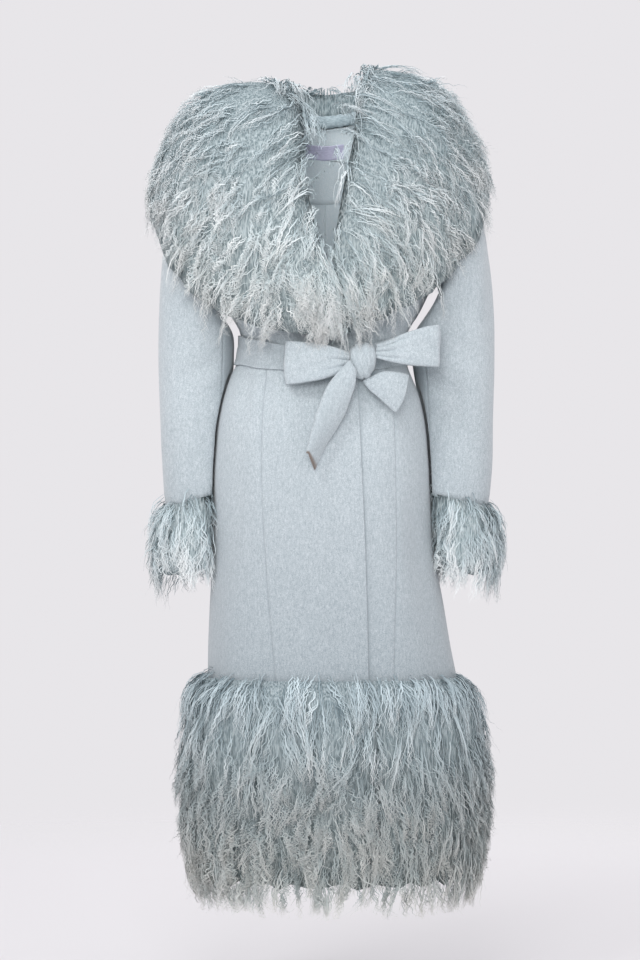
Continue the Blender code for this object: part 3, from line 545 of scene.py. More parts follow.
def gridRim(rows, columns):
    # row and column of each point on a grid's border, once round
    rim = [(0, j) for j in range(columns)] + [(i, columns - 1) for i in range(1, rows)]
    rim += [(rows - 1, j) for j in range(columns - 2, -1, -1)] + [(i, 0) for i in range(rows - 2, 0, -1)]
    return np.array(rim).T


def clothShell(name, outer, wall, look, outFrom, shade=None, pale=0.0):
    # a wall behind a grid of points, with a rounded rim
    rows, columns = outer.shape[:2]
    normals = gridNormals(outer, outFrom)
    inner = outer - normals * wall
    count = rows * columns
    i, j = gridRim(rows, columns)
    away = unit(outer[i, j] - outer[np.clip(i, 1, rows - 2), np.clip(j, 1, columns - 2)])
    middle = (outer[i, j] + inner[i, j]) / 2 + away * wall * rimBulge
    quads = gridQuads(rows, columns)
    rimIndex = i * columns + j
    rimNext = np.roll(rimIndex, -1)
    middleIndex = 2 * count + np.arange(len(i))
    middleNext = np.roll(middleIndex, -1)
    sides = [
        np.stack([rimNext, rimIndex, middleIndex, middleNext], axis=1),
        np.stack([middleNext, middleIndex, rimIndex + count, rimNext + count], axis=1),
    ]
    faces = np.concatenate([quads, quads[:, ::-1] + count] + sides)
    across = np.cross(outer[1, 0] - outer[0, 0], outer[0, 1] - outer[0, 0])
    if np.dot(across, normals[0, 0]) > 0:
        faces = faces[:, ::-1]
    points = np.concatenate([outer.reshape(-1, 3), inner.reshape(-1, 3), middle])
    mesh = meshFromArrays(name, points, faces)
    dark = np.zeros((rows, columns)) if shade is None else shade
    # painted shade on the outer face where shade is given, half as much on the rim
    setMark(mesh, "valley", np.concatenate([dark.ravel(), dark.ravel() * 0, dark[i, j] * 0.5]))
    # painted light: inner faces are lightened in full, the outer face and rim as far as pale says
    setMark(mesh, "inside", np.repeat([pale, 1.0, pale], [count, count, len(i)]))
    addPiece(name, mesh, look, [solidOf(name)])


def crossed(columns, width):
    # shares across a panel, set closer beside its edges
    near = np.array([0.0, *closeEdges]) / width
    inside = np.linspace(near[-1], 1 - near[-1], columns - 2 * len(closeEdges) + 1)[1:-1]
    return np.concatenate([near, inside, 1 - near[::-1]])


# felt and satin


feltSizes = {
    "deep": (0.330, 0.385, 0.412),
    "middle": (0.440, 0.498, 0.528),
    "pale": (0.575, 0.630, 0.658),
    "insideLightColour": (0.60, 0.74, 0.81),  # painted light: the inner face of the cloth is drawn paler, as if lit
    # painted shade: the colour that seams, creases and folds are darkened towards
    "valleyShadeColour": (0.360, 0.415, 0.445),
    "rawColour": (0.190, 0.155, 0.135),
    "fibreScale": 800.0,
    "clumpScale": 260.0,
    "cloudScale": 9.0,
}


# low and high, and the shades between them: painted shade, the skirt darkens towards the hem as the light
# falls from above
feltShadeStops = [(0.0, (0.70, 0.71, 0.72)), (0.55, (0.85, 0.85, 0.855)), (1.0, (0.98, 0.98, 0.98))]
feltHeightShade = (-0.86, -0.42, feltShadeStops)


def makeFelt(name, lift=0.0):
    # felted wool: a dense nap of short fibres in several tones
    look = Look(name, Roughness=0.95, Sheen_Weight=0.30, Sheen_Roughness=0.6, Specular_IOR_Level=0.15)
    fibre = look.noise(feltSizes["fibreScale"], 3.0)
    streak = look.noise(feltSizes["fibreScale"] * 0.5, 2.0, (1.0, 1.0, 0.35))
    clump = look.noise(feltSizes["clumpScale"], 3.0)
    cloud = look.noise(feltSizes["cloudScale"], 2.0)
    # lift makes a lighter or darker copy of the felt, a painted light or shade
    tone = fibre * 0.60 + streak * 0.30 + clump * 0.06 + cloud * 0.04 + lift
    shades = [(0.36, feltSizes["deep"]), (0.50, feltSizes["middle"]), (0.64, feltSizes["pale"])]
    colour = look.ramp(tone, shades)
    # painted light on inner faces, screened towards a pale colour
    colour = look.blend(look.mark("inside"), colour, (*feltSizes["insideLightColour"], 1.0), "SCREEN")
    # painted shade in seams, creases, folds and beside edges
    colour = look.blend(look.mark("valley") * 0.5, colour, (*feltSizes["valleyShadeColour"], 1.0))
    colour = look.blend(look.mark("raw"), colour, (*feltSizes["rawColour"], 1.0))
    # painted shade: the skirt darkens towards the hem
    look.paint("Base Color", look.shadeByHeight(colour, *feltHeightShade))
    soft = look.bump(clump, 0.30, 0.0011)
    look.paint("Normal", look.bump(fibre * 0.6 + streak * 0.4, 0.55, 0.0007, soft))
    return look


def makeSatin():
    look = Look("labelSatin", Roughness=0.34, Sheen_Weight=0.15, Specular_IOR_Level=0.5)
    thread = look.noise(1500.0, 1.0, (0.12, 1.0, 1.0))
    look.paint("Base Color", look.ramp(thread, [(0.3, (0.50, 0.49, 0.68)), (0.7, (0.66, 0.66, 0.84))]))
    look.paint("Normal", look.bump(thread, 0.2, 0.0002))
    return look


# body panels


panelSizes = {
    # name: side, first edge, last edge, columns, edges that are sewn
    "back_right": ("back", -1.0, 0.0, 40, (True, True)),
    "back_left": ("back", 0.0, 1.0, 40, (True, True)),
    "side_right": ("front", -1.0, "rightPrincess", 20, (True, True)),
    "side_left": ("front", "leftPrincess", 1.0, 20, (True, True)),
    "front_right": ("front", "overEdge", "rightPrincess", 34, (False, True)),
    "front_left": ("front", "underEdge", "leftPrincess", 38, (False, True)),
}


def edgePlace(edge, level):
    return seamPlace(edge, level) if isinstance(edge, str) else edge


def underLap(place, level):
    # the under front passes inside the over front, and comes out to the skin past its edge
    sunk = bodySizes["wall"] + bodySizes["lapGap"]
    past = place - seamPlace("overEdge", level) - bodySizes["lapPastEdge"]
    return sunk * (1 - smoothStep(past / bodySizes["lapStep"]))


def makeBody(felt):
    for name, (side, first, last, columns, sewn) in panelSizes.items():
        grid, shadeRows = [], []
        for level in clothLevels():
            start, end = edgePlace(first, level), edgePlace(last, level)
            probe = coatSkin(side, np.linspace(start, end, 9), level)
            width = np.linalg.norm(np.diff(probe, axis=0), axis=1).sum()
            shares = crossed(columns, width)
            gap = bodySizes["seamGap"] / 2 / width
            shares = gap + shares * (1 - 2 * gap)
            place = mix(start, end, shares)
            dip = 0.0
            for edge, isSewn in zip((shares, 1 - shares), sewn):
                dip = dip + isSewn * bell(edge * width, bodySizes["seamDipWidth"])
            dip = dip * (1.0 if level <= bodySizes["underarm"] else 0.6)
            # painted shade along the sewn edges, where the seams dip
            inset, shade = bodySizes["seamDip"] * dip, 0.75 * dip
            if name == "front_left":
                inset = inset + underLap(place, level)
                # painted shadow of the over front on the under front, beside its free edge
                beside = np.maximum(place - seamPlace("overEdge", level), 0)
                shade = np.maximum(shade, 1.3 * bell(beside, bodySizes["lapShadow"]))
            flat = coatSkin(side, place, level, 0.0)
            for x0, z0, x1, z1, *shape in bodyCreases[side]:
                inset = inset + creaseDepth(flat[:, 0], flat[:, 2], (x0, z0), (x1, z1), *shape, bodyFold)
            grid.append(coatSkin(side, place, level, inset))
            shadeRows.append(shade * np.ones(len(place)))
        grid = np.array(grid)
        axis = grid.mean(axis=(0, 1)) * np.array([0.2, 0.0, 1.0])
        clothShell(name + "_felt", grid, bodySizes["wall"], felt, axis, np.array(shadeRows))
    print("body panels made")


# sleeves


sleeveSizes = {
    "rings": 58,
    "steps": 48,
    "squareness": 2.3,
    "clearance": 0.0045,
    "armholeGap": 0.0005,
    "seamGap": 0.0012,
    "frontSeam": 6.0,  # in sixteenths of the way round, from the outer line to the front
    "backSeam": 11.0,
    "stepWide": 0.023,  # a sixteenth of the way round, measured on the cloth
    "ringHigh": 0.062,
    "hemLine": 0.012,  # pressed fold above the fur
    "hemLineDepth": 0.0012,
    "hemLineWidth": 0.0035,
    "creaseStep": 0.021,  # metres for a sixteenth and for a ring, as the creases are placed
    "creaseRing": 0.055,
    "innerShade": (5.4, 1.6, 1.5),  # shadow on the body's side: start, growth and strength
}

sleeveForm = SmoothTable(
    ("ring", "right", "left", "outerZ", "rightInner", "leftInner", "innerZ", "front", "back"),
    [
        (1, 0.2150, 0.2150, -0.054, 0.1680, 0.1680, -0.2440, 0.062, 0.066),
        (2, 0.2245, 0.2220, -0.082, 0.1715, 0.1710, -0.2560, 0.066, 0.070),
        (3, 0.2330, 0.2315, -0.122, 0.1640, 0.1620, -0.2730, 0.067, 0.075),
        (4, 0.2400, 0.2415, -0.172, 0.1510, 0.1480, -0.2920, 0.066, 0.080),
        (5, 0.2460, 0.2495, -0.232, 0.1380, 0.1330, -0.3170, 0.062, 0.083),
        (6, 0.2500, 0.2540, -0.298, 0.1370, 0.1310, -0.3520, 0.054, 0.085),
        (7, 0.2505, 0.2550, -0.368, 0.1390, 0.1370, -0.3970, 0.048, 0.085),
        (8, 0.2480, 0.2530, -0.440, 0.1400, 0.1400, -0.4500, 0.044, 0.083),
        (9, 0.2450, 0.2520, -0.510, 0.1400, 0.1400, -0.5000, 0.041, 0.080),
        (10, 0.2405, 0.2460, -0.577, 0.1420, 0.1420, -0.5500, 0.040, 0.076),
    ],
)

# soft creases of a sleeve: start (sixteenths round, ring) and end, width in metres, depth
sleeveCreases = {
    "right": [
        (4.6, 2.4, 2.2, 4.6, 0.013, 0.0036),
        (5.0, 4.2, 2.4, 6.0, 0.011, 0.0030),
        (5.4, 6.4, 3.0, 7.2, 0.010, 0.0034),
        (5.2, 7.6, 3.4, 7.1, 0.008, 0.0020),
        (3.2, 8.2, 1.2, 9.0, 0.012, 0.0018),
        (1.0, 3.6, 2.2, 5.6, 0.014, 0.0022),
        (11.0, 5.4, 13.4, 6.8, 0.012, 0.0034),
        (10.6, 7.2, 13.0, 7.6, 0.010, 0.0026),
        (12.0, 3.0, 14.4, 4.8, 0.013, 0.0030),
    ],
    "left": [
        (4.8, 2.2, 2.0, 4.2, 0.013, 0.0038),
        (5.2, 4.4, 2.6, 5.8, 0.012, 0.0030),
        (5.6, 6.9, 3.2, 7.7, 0.010, 0.0040),
        (5.4, 8.0, 3.6, 7.6, 0.008, 0.0024),
        (4.0, 6.2, 2.0, 6.9, 0.011, 0.0020),
        (0.8, 4.4, 1.8, 6.4, 0.014, 0.0022),
        (10.8, 5.8, 13.2, 7.2, 0.012, 0.0034),
        (10.8, 7.8, 13.2, 7.9, 0.010, 0.0024),
        (12.2, 3.4, 14.2, 5.0, 0.013, 0.0028),
    ],
}


def sleeveRing(sign, ring, step, inset=0.0, drop=0.0):
    # step runs round in sixteenths: 0 at the outer line, then front, inner line and back
    arm = "right" if sign < 0 else "left"
    outer = np.array([sign * sleeveForm.at(arm, ring), 0.0, sleeveForm.at("outerZ", ring) - drop])
    inner = np.array([sign * sleeveForm.at(arm + "Inner", ring), 0.0, sleeveForm.at("innerZ", ring) - drop])
    front, back = sleeveForm.at("front", ring), sleeveForm.at("back", ring)
    centre = (outer + inner) / 2 + np.array([0.0, (back - front) / 2, 0.0])
    axis = (outer - inner) / 2
    across = np.linalg.norm(axis)
    turn = math.pi * np.asarray(step) / 8
    inset = np.asarray(inset) + 0 * turn
    a = signedPower(np.cos(turn), sleeveSizes["squareness"]) * (across - inset) / across
    b = signedPower(np.sin(turn), sleeveSizes["squareness"]) * ((front + back) / 2 - inset)
    return centre + a[:, None] * axis - pointsAt(0, b, 0)


def clearOfSkirt(points, clearance):
    # moves points out of the body's section, straight away from its middle
    x, y, z = points[:, 0], points[:, 1], points[:, 2]
    half = np.where(x < 0, bodyForm.at("right", z), bodyForm.at("left", z)) + clearance
    depth = np.where(y < 0, bodyForm.at("front", z), bodyForm.at("back", z)) + clearance
    square = bodySizes["squareness"]
    reach = (np.abs(x) / half) ** square + (np.abs(y) / depth) ** square
    within = (reach < 1) & (z <= bodySizes["underarm"])
    scale = np.where(within, np.maximum(reach, 1e-6) ** (-1 / square), 1.0)
    return pointsAt(x * scale, y * scale, z)


def armholePoints(sign, steps):
    points = []
    for step in steps:
        side = "front" if step <= 8 else "back"
        turn = 90.0 * abs(8 - step) / 8
        level = turn if turn > 0 else bodySizes["underarm"]
        points.append(coatSkin(side, np.array([float(sign)]), level)[0])
    return np.array(points) + np.array([sign * sleeveSizes["armholeGap"], 0.0, 0.0])


def sleeveCreaseDepth(side, steps, ring):
    wide, high = sleeveSizes["creaseStep"], sleeveSizes["creaseRing"]
    depth = 0.0
    for w0, r0, w1, r1, width, most in sleeveCreases[side]:
        for step in (steps, steps + 16):
            start, end = (w0 * wide, r0 * high), (w1 * wide, r1 * high)
            depth = depth + creaseDepth(step * wide, ring * high, start, end, width, most, sleeveFold)
    return depth


def makeSleeves(felt):
    s = sleeveSizes
    for sign, side in ((-1, "right"), (1, "left")):
        parts = (("top", s["backSeam"] - 16, s["frontSeam"]), ("under", s["frontSeam"], s["backSeam"]))
        for part, first, last in parts:
            columns = round((last - first) / 16 * s["steps"]) + 8
            steps = mix(first, last, crossed(columns, (last - first) * s["stepWide"]))
            gap = s["seamGap"] / 2 / s["stepWide"]
            steps = np.clip(steps, first + gap, last - gap)
            edge = np.minimum(steps - first, last - steps) * s["stepWide"]
            dip = bell(edge, bodySizes["seamDipWidth"])
            grid = [armholePoints(sign, steps % 16)]
            for ring in np.linspace(1.0, 10.0, s["rings"]):
                inset = bodySizes["seamDip"] * dip + sleeveCreaseDepth(side, steps, ring)
                above = (10.0 - ring) * s["ringHigh"] - s["hemLine"]
                inset = inset + s["hemLineDepth"] * bell(above, s["hemLineWidth"])
                grid.append(clearOfSkirt(sleeveRing(sign, ring, steps, inset), s["clearance"]))
            grid = np.array(grid)
            axis = (grid.max(axis=(0, 1)) + grid.min(axis=(0, 1))) / 2
            axis = np.array([sign * 0.2, 0.02, 0.0]) + axis * np.array([0.0, 0.0, 1.0])
            start, growth, strength = s["innerShade"]
            # painted shade on the under sleeve, growing towards the body's side
            inward = strength * smoothStep((steps - start) / growth) if part == "under" else 0.0
            shade = np.tile(np.maximum(dip, inward), (len(grid), 1))
            name = f"sleeve_{part}_{side}_felt"
            clothShell(name, grid, bodySizes["wall"], felt, axis, shade)
    print("sleeves made")


# fur


furColours = {
    "root": (0.150, 0.205, 0.228),
    "middle": (0.560, 0.655, 0.682),
    "tip": (0.850, 0.885, 0.890),
    "warmTip": (0.740, 0.745, 0.725),
    # painted shade: the under-wool's colours are dark for the shade down between the locks
    "pelt": (0.185, 0.235, 0.250),
    "peltPale": (0.470, 0.535, 0.550),
}


# low and high, and the shades between them: painted shade by height, darker low on the collar and across
# the middle of the hem
collarHeightShade = (-0.36, 0.10, [
    (0.0, (0.76, 0.75, 0.74)), (0.25, (0.92, 0.92, 0.91)), (0.5, (1.0, 1.0, 1.0)), (1.0, (0.94, 0.98, 1.0)),
])
hemHeightShade = (-1.17, -0.83, [
    (0.0, (0.86, 0.84, 0.80)), (0.15, (0.70, 0.69, 0.66)), (0.5, (0.66, 0.66, 0.65)),
    (0.8, (0.80, 0.82, 0.83)), (1.0, (0.96, 0.98, 1.0)),
])
cuffHeightShade = (-0.70, -0.55, [(0.0, (1.0, 1.0, 1.0)), (1.0, (0.96, 0.98, 0.99))])
# painted light: the cuffs' under-wool is made paler, with less painted shade between their locks
cuffPeltLightening = (-0.70, -0.55, [(0.0, (1.45, 1.45, 1.45))])


def makeFurLook(name, shift, grey, low, high, shades):
    # each lock runs from dark roots to pale tips, and locks differ from one another; shift makes this
    # piece's fur a little lighter or darker than the others', and shades darken it by height, from low to
    # high: both are painted light and shade
    look = Look(name, Roughness=0.58, Sheen_Weight=0.2, Specular_IOR_Level=0.4)
    along = look.mark("along")
    patch = look.noise(11.0, 2.0)
    tone = along * 0.55 + look.mark("lockTone") * 0.50 + patch * 0.36 - 0.26 + shift
    colour = look.ramp(tone, [
        (0.04, furColours["root"]), (0.38, furColours["middle"]), (0.76, furColours["tip"]),
    ])
    warm = look.ramp(look.noise(20.0, 2.0) * along, [(0.26, (0.0, 0.0, 0.0)), (0.56, (1.0, 1.0, 1.0))])
    colour = look.blend(warm * grey, colour, (*furColours["warmTip"], 1.0))
    look.paint("Base Color", look.shadeByHeight(colour, low, high, shades))
    return look


def makePeltLook(name, low, high, shades):
    # the dense wool close to the skin, seen only between the locks, painted dark as the shade down between
    # them
    look = Look(name, Roughness=0.9, Specular_IOR_Level=0.1)
    streak = look.noise(420.0, 3.0, (1.0, 1.0, 0.16))
    colour = look.ramp(streak, [(0.36, furColours["pelt"]), (0.66, furColours["peltPale"])])
    look.paint("Base Color", look.shadeByHeight(colour, low, high, shades))
    look.paint("Normal", look.bump(streak, 0.9, 0.004))
    return look


def makePileLook():
    # short dense pile of the roll inside the neck
    look = Look("shortPile", Roughness=0.9, Sheen_Weight=0.35, Specular_IOR_Level=0.15)
    nap = look.noise(420.0, 3.0, (0.5, 0.5, 1.0))
    look.paint("Base Color", look.ramp(nap, [(0.3, (0.30, 0.385, 0.425)), (0.7, (0.52, 0.62, 0.66))]))
    look.paint("Normal", look.bump(nap, 0.7, 0.0016))
    return look


def makePelt(node, shrink, look, raised, isRing=False):
    # the fur's solid, drawn in under the locks and up from their tips;
    # a piece that is no whole ring keeps its ends against its neighbours
    shape = bmesh.new()
    shape.from_mesh(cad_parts[node].data)
    bmesh.ops.remove_doubles(shape, verts=shape.verts, dist=0.00002)
    shape.normal_update()
    top, bottom = max(v.co.z for v in shape.verts), min(v.co.z for v in shape.verts)
    for v in shape.verts:
        normal = v.normal.copy()
        if not isRing:
            around = Vector((-v.co.y, v.co.x, 0)).normalized()
            normal -= around * normal.dot(around)
        v.co.z += raised * max(0.0, (top - v.co.z) / (top - bottom) - 0.5) * 2
        v.co -= normal * shrink
    mesh = bpy.data.meshes.new(node + "_pelt")
    shape.to_mesh(mesh)
    shape.free()
    mesh.shade_smooth()
    mesh.materials.clear()
    addPiece(node + "_pelt", mesh, look, (node,))


class FurField:
    # a surface that the fur's outside follows: first axis round the piece, second the way the fur falls
    def __init__(self, points, normals, wraps=False):
        self.wraps = wraps
        self.shape = points.shape[:2]
        self.points = points
        self.normals = unit(normals)
        self.around = np.gradient(points, axis=0) * (self.shape[0] - 1)
        self.fall = np.gradient(points, axis=1) * (self.shape[1] - 1)
        cross = np.cross(np.diff(points, axis=0)[:, :-1], np.diff(points, axis=1)[:-1])
        self.cells = lengthOf(cross)[..., 0]
        self.girth = lengthOf(np.diff(points, axis=0)).sum(axis=0).mean()
        self.depth = lengthOf(np.diff(points, axis=1)).sum(axis=1).mean()

    def read(self, grid, u, v):
        u = u % 1.0 if self.wraps else np.clip(u, 0, 1)
        a, b = u * (self.shape[0] - 1), np.clip(v, 0, 1) * (self.shape[1] - 1)
        i = np.minimum(a.astype(int), self.shape[0] - 2)
        j = np.minimum(b.astype(int), self.shape[1] - 2)
        fa, fb = (a - i)[..., None], (b - j)[..., None]
        first = grid[i, j] * (1 - fa) + grid[i + 1, j] * fa
        second = grid[i, j + 1] * (1 - fa) + grid[i + 1, j + 1] * fa
        return first * (1 - fb) + second * fb

    def place(self, u, v):
        # a point of the surface, or past its border hanging on in the border's own direction
        pastU = 0 * u if self.wraps else u - np.clip(u, 0, 1)
        pastV = v - np.clip(v, 0, 1)
        past = self.read(self.around, u, v) * pastU[..., None]
        past = past + self.read(self.fall, u, v) * pastV[..., None]
        out = unit(self.read(self.normals, u, v) * levelOnly)
        past = past - out * np.minimum(np.sum(past * out, axis=-1, keepdims=True), 0) * 0.85
        return self.read(self.points, u, v) + past - 0.35 * upward * lengthOf(past)

    def scatter(self, count, random, sizes):
        # roots spread evenly over the surface, closer along its upper edge
        columns = self.shape[1] - 1
        middle = (np.arange(columns) + 0.5) / columns
        allowed = (middle > sizes["rootLow"]) & (middle < sizes["rootHigh"])
        weight = self.cells * allowed * (1 + sizes["edgeExtra"] * bell(middle, 0.05))
        if sizes["frontEnd"]:
            ends = (np.arange(self.shape[0] - 1)[:, None] + 0.5) / (self.shape[0] - 1)
            weight = weight * (1 + 1.5 * bell(ends, 0.10))
        chance = (weight / weight.sum()).ravel()
        i, j = np.divmod(random.choice(chance.size, size=count, p=chance), columns)
        spill = 0 if self.wraps else random.normal(0, sizes["spill"] / self.girth, count)
        u = (i + random.random(count)) / (self.shape[0] - 1) + spill
        v = (j + random.random(count)) / columns
        over = np.abs(random.normal(0, 1, count)) * sizes["overEdge"] * smoothStep(1 - v / 0.06)
        return u, v - over / self.depth

    def flow(self, u, v, turn, sizes):
        # the way the fur lies, as steps of u and v for each metre
        around, fall = self.read(self.around, u, v), self.read(self.fall, u, v)
        normal = unit(self.read(self.normals, u, v))
        down = normal * normal[..., 2:3] - upward
        down = down * 1.2 / (0.2 + lengthOf(down))  # stronger where the surface lies level
        along = unit(fall)
        pull, least = sizes["fallPull"], 0.25
        if sizes["frontEnd"]:
            # close to the neck's edge the fur runs along that edge
            calm = smoothStep(v / sizes["edgeCalm"])[..., None]
            pull = pull * mix(0.05, 1.0, smoothStep(u / sizes["frontEnd"]))[..., None] * mix(0.1, 1.0, calm)
            least = 0.25 * calm
        way = along * pull + down * sizes["downPull"]
        against = np.sum(way * along, axis=-1, keepdims=True)
        way = unit(way + along * np.maximum(least - against, 0))
        way = way * np.cos(turn)[..., None] + np.cross(normal, way) * np.sin(turn)[..., None]
        aa, ab, bb = (around**2).sum(-1), (around * fall).sum(-1), (fall**2).sum(-1)
        wa, wb = (way * around).sum(-1), (way * fall).sum(-1)
        room = np.maximum(aa * bb - ab * ab, 0.02 * aa * bb + 1e-12)
        return (wa * bb - wb * ab) / room, (wb * aa - wa * ab) / room


def traceLocks(field, u, v, long, turn, sizes):
    # follows each lock from its root over the surface
    count = sizes["points"]
    step = long / (count - 1)
    pathU, pathV = [u], [v]
    for k in range(count - 1):
        atU = pathU[-1] if field.wraps else np.clip(pathU[-1], 0, 1)
        stepU, stepV = field.flow(atU, np.clip(pathV[-1], 0, 1), turn, sizes)
        pathU.append(pathU[-1] + stepU * step)
        pathV.append(pathV[-1] + stepV * step)
    return np.array(pathU).T, np.array(pathV).T


looseReach = np.array([0.010, 0.009, 0.024])  # the most that fur stands out of the solids' box


def withinReach(points):
    low, high = (np.array(list(corner)) for corner in cadBounds)
    above, below = np.maximum(points - high, 0), np.maximum(low - points, 0)
    drawn = np.exp(-below / looseReach) - np.exp(-above / looseReach)
    return np.clip(points, low, high) + looseReach * drawn


def growFur(name, field, sizes, look, seed):
    # long wavy locks over the whole piece, short curls over its lower part
    curls = {**sizes, **curlFur, "triangles": sizes["triangles"] * sizes["curlShare"]}
    if sizes["curlShare"]:
        growLocks(name + "_curls", field, curls, look, seed + 100)
    locks = {**sizes, "triangles": sizes["triangles"] - curls["triangles"]}
    growLocks(name + "_locks", field, locks, look, seed)


# two crossing waves in space, along which the fur's parting turns
swirlWaves = np.array([[61.0, 23.0, 34.0], [-29.0, 41.0, 71.0]])


def layLocks(field, locks, t, sizes, random, seed):
    # each lock's line over the surface, the directions along it, its length and its place down the fur
    u, v = field.scatter(locks, random, sizes)
    root = field.place(u, v)
    swirl = np.sin(root @ swirlWaves[0] + seed) + np.sin(root @ swirlWaves[1] + 2 * seed)
    turn = sizes["swirl"] * swirl / 2 + random.normal(0, sizes["drift"], locks)
    long = sizes["length"] * random.uniform(0.70, 1.25, locks)
    pathU, pathV = traceLocks(field, u, v, long, turn, sizes)
    beyond = 2.5 * sizes["spill"] / field.girth
    outside = (pathV > 1) if field.wraps else (pathV > 1) | (pathU < -beyond) | (pathU > 1 + beyond)
    inLength = long * (1 - outside.mean(axis=1))
    hang = np.clip(-unit(field.read(field.fall, pathU[:, -1], pathV[:, -1]))[:, 2], 0, 1)
    ragged = sizes["ragged"] * (0.35 + 0.65 * hang) + sizes["lowDrop"] * bell(u - 0.50, 0.17)
    long = np.minimum(long, inLength + ragged * random.random(locks) ** 1.1)
    # traced again, to end at most the ragged length past the border
    pathU, pathV = traceLocks(field, u, v, long, turn, sizes)
    base = field.place(pathU, pathV)
    normal = unit(field.read(field.normals, pathU, pathV))
    ahead = unit(np.gradient(base, axis=1))
    side = unit(np.cross(normal, ahead))
    # along the upper edge the locks swing back over it before they fall
    swing = smoothStep(1 - v / 0.09) * random.uniform(sizes["leastSwing"], sizes["backSwing"], locks)
    arch = swing[:, None] * np.sin(math.pi * t**0.75)
    base = base + (0.45 * normal - ahead[:, :1]) * arch[..., None]
    return base, normal, side, ahead, long[:, None], np.clip(pathV, 0, 1)


def ribbonMesh(name, path, normal, roll, half, ownShading):
    # narrow bands along the strands, shaded much like the mass of fur that they lie in
    tangent = unit(np.gradient(path, axis=1))
    flat = unit(np.cross(tangent, normal))
    flat = flat * np.cos(roll) + np.cross(flat, tangent) * np.sin(roll)
    edges = np.stack([path - flat * half, path + flat * half], axis=2)
    index = np.arange(edges.size // 3).reshape(edges.shape[:3])
    quads = np.stack([index[:, :-1, 0], index[:, :-1, 1], index[:, 1:, 1], index[:, 1:, 0]], axis=-1)
    mesh = meshFromArrays(name, edges.reshape(-1, 3), quads.reshape(-1, 4))
    facing = np.cross(flat, tangent)
    facing *= np.sign(np.sum(facing * normal, axis=-1, keepdims=True) + 1e-9)
    shading = unit(normal + facing * ownShading)
    mesh.normals_split_custom_set_from_vertices(np.repeat(shading.reshape(-1, 3), 2, axis=0))
    return mesh


def growLocks(name, field, sizes, look, seed):
    # locks of strands that share a wave and draw together towards their tips
    random = np.random.default_rng(seed)
    strands, count = sizes["strandsPerLock"], sizes["points"]
    locks = int(sizes["triangles"] / (2 * (count - 1) * strands))
    total = locks * strands
    t = np.linspace(0, 1, count)[None, :]

    def each(values):
        return np.repeat(values, strands, axis=0)

    def own(low, high):
        return random.uniform(low, high, (total, 1))

    def ownAround(spread):
        return random.normal(0, spread, (total, 1))

    def ofLock(low, high):
        return each(random.uniform(low, high, locks))[:, None]

    laid = layLocks(field, locks, t, sizes, random, seed)
    base, normal, side, ahead, long, down = (each(values) for values in laid)
    run = t * long * own(0.85, 1.1)
    pitch = sizes["wavePitch"] * ofLock(0.65, 1.45)
    angle = 2 * math.pi / pitch * (run + sizes["tighter"] * run * t) + ofLock(0, 6.28)
    angle = angle + ownAround(0.35) + ownAround(0.6) * t
    wave = sizes["waveSwing"] * ofLock(0.4, 1.6) * own(0.6, 1.4)
    wave = wave * mix(sizes["rootWave"], 1.0, t**0.9)
    wave = wave * mix(sizes["upperWave"], 1.15, smoothStep(down / 0.8))
    drawn = 1 - sizes["drawTogether"] * t**0.8
    besides = ownAround(sizes["lockWidth"] / 2)
    stray = ownAround(1.0) ** 3 * sizes["stray"]
    sideways = besides * drawn + wave * np.sin(angle) + stray * t**2
    lift = ofLock(sizes["liftLow"], sizes["liftHigh"]) + own(-sizes["unevenLift"], sizes["unevenLift"])
    height = lift * np.sin(np.minimum(t * 1.3, 1) * math.pi / 2) - sizes["rootDepth"] * (1 - t) ** 1.7
    height = height - sizes["tuck"] * np.clip(t - 0.6, 0, 1) ** 1.5 + wave * 0.7 * np.cos(angle + 0.6)
    height = height + np.abs(ownAround(1.0) ** 3) * sizes["stray"] * 0.5 * t**2
    slide = ownAround(sizes["lockWidth"] * 0.8) * (1 - 0.5 * t)
    path = base + side * sideways[..., None] + normal * height[..., None] + ahead * slide[..., None]
    roll = own(-1.1, 1.1)[..., None]
    taper = (0.6 + 0.4 * np.sin(math.pi * np.minimum(t * 1.5, 1))) * (1 - 0.8 * t**3)
    half = (sizes["strandWidth"] / 2 * own(0.55, 1.25) * taper)[..., None]
    mesh = ribbonMesh(name, withinReach(path), normal, roll, half, sizes["ownShading"])
    # painted shade: locks that lie deeper are darker, as if shaded by the locks over them
    deep = (lift - sizes["liftLow"]) / (sizes["liftHigh"] - sizes["liftLow"])
    tone = 0.50 * ofLock(0, 1) + 0.50 * deep + ownAround(sizes["toneSpread"]) + 0 * t
    setMark(mesh, "along", np.repeat(0.55 * t + 0.45 * down, 2, axis=1))
    setMark(mesh, "lockTone", np.repeat(np.clip(tone, 0, 1), 2, axis=1))
    addPiece(name, mesh, look)


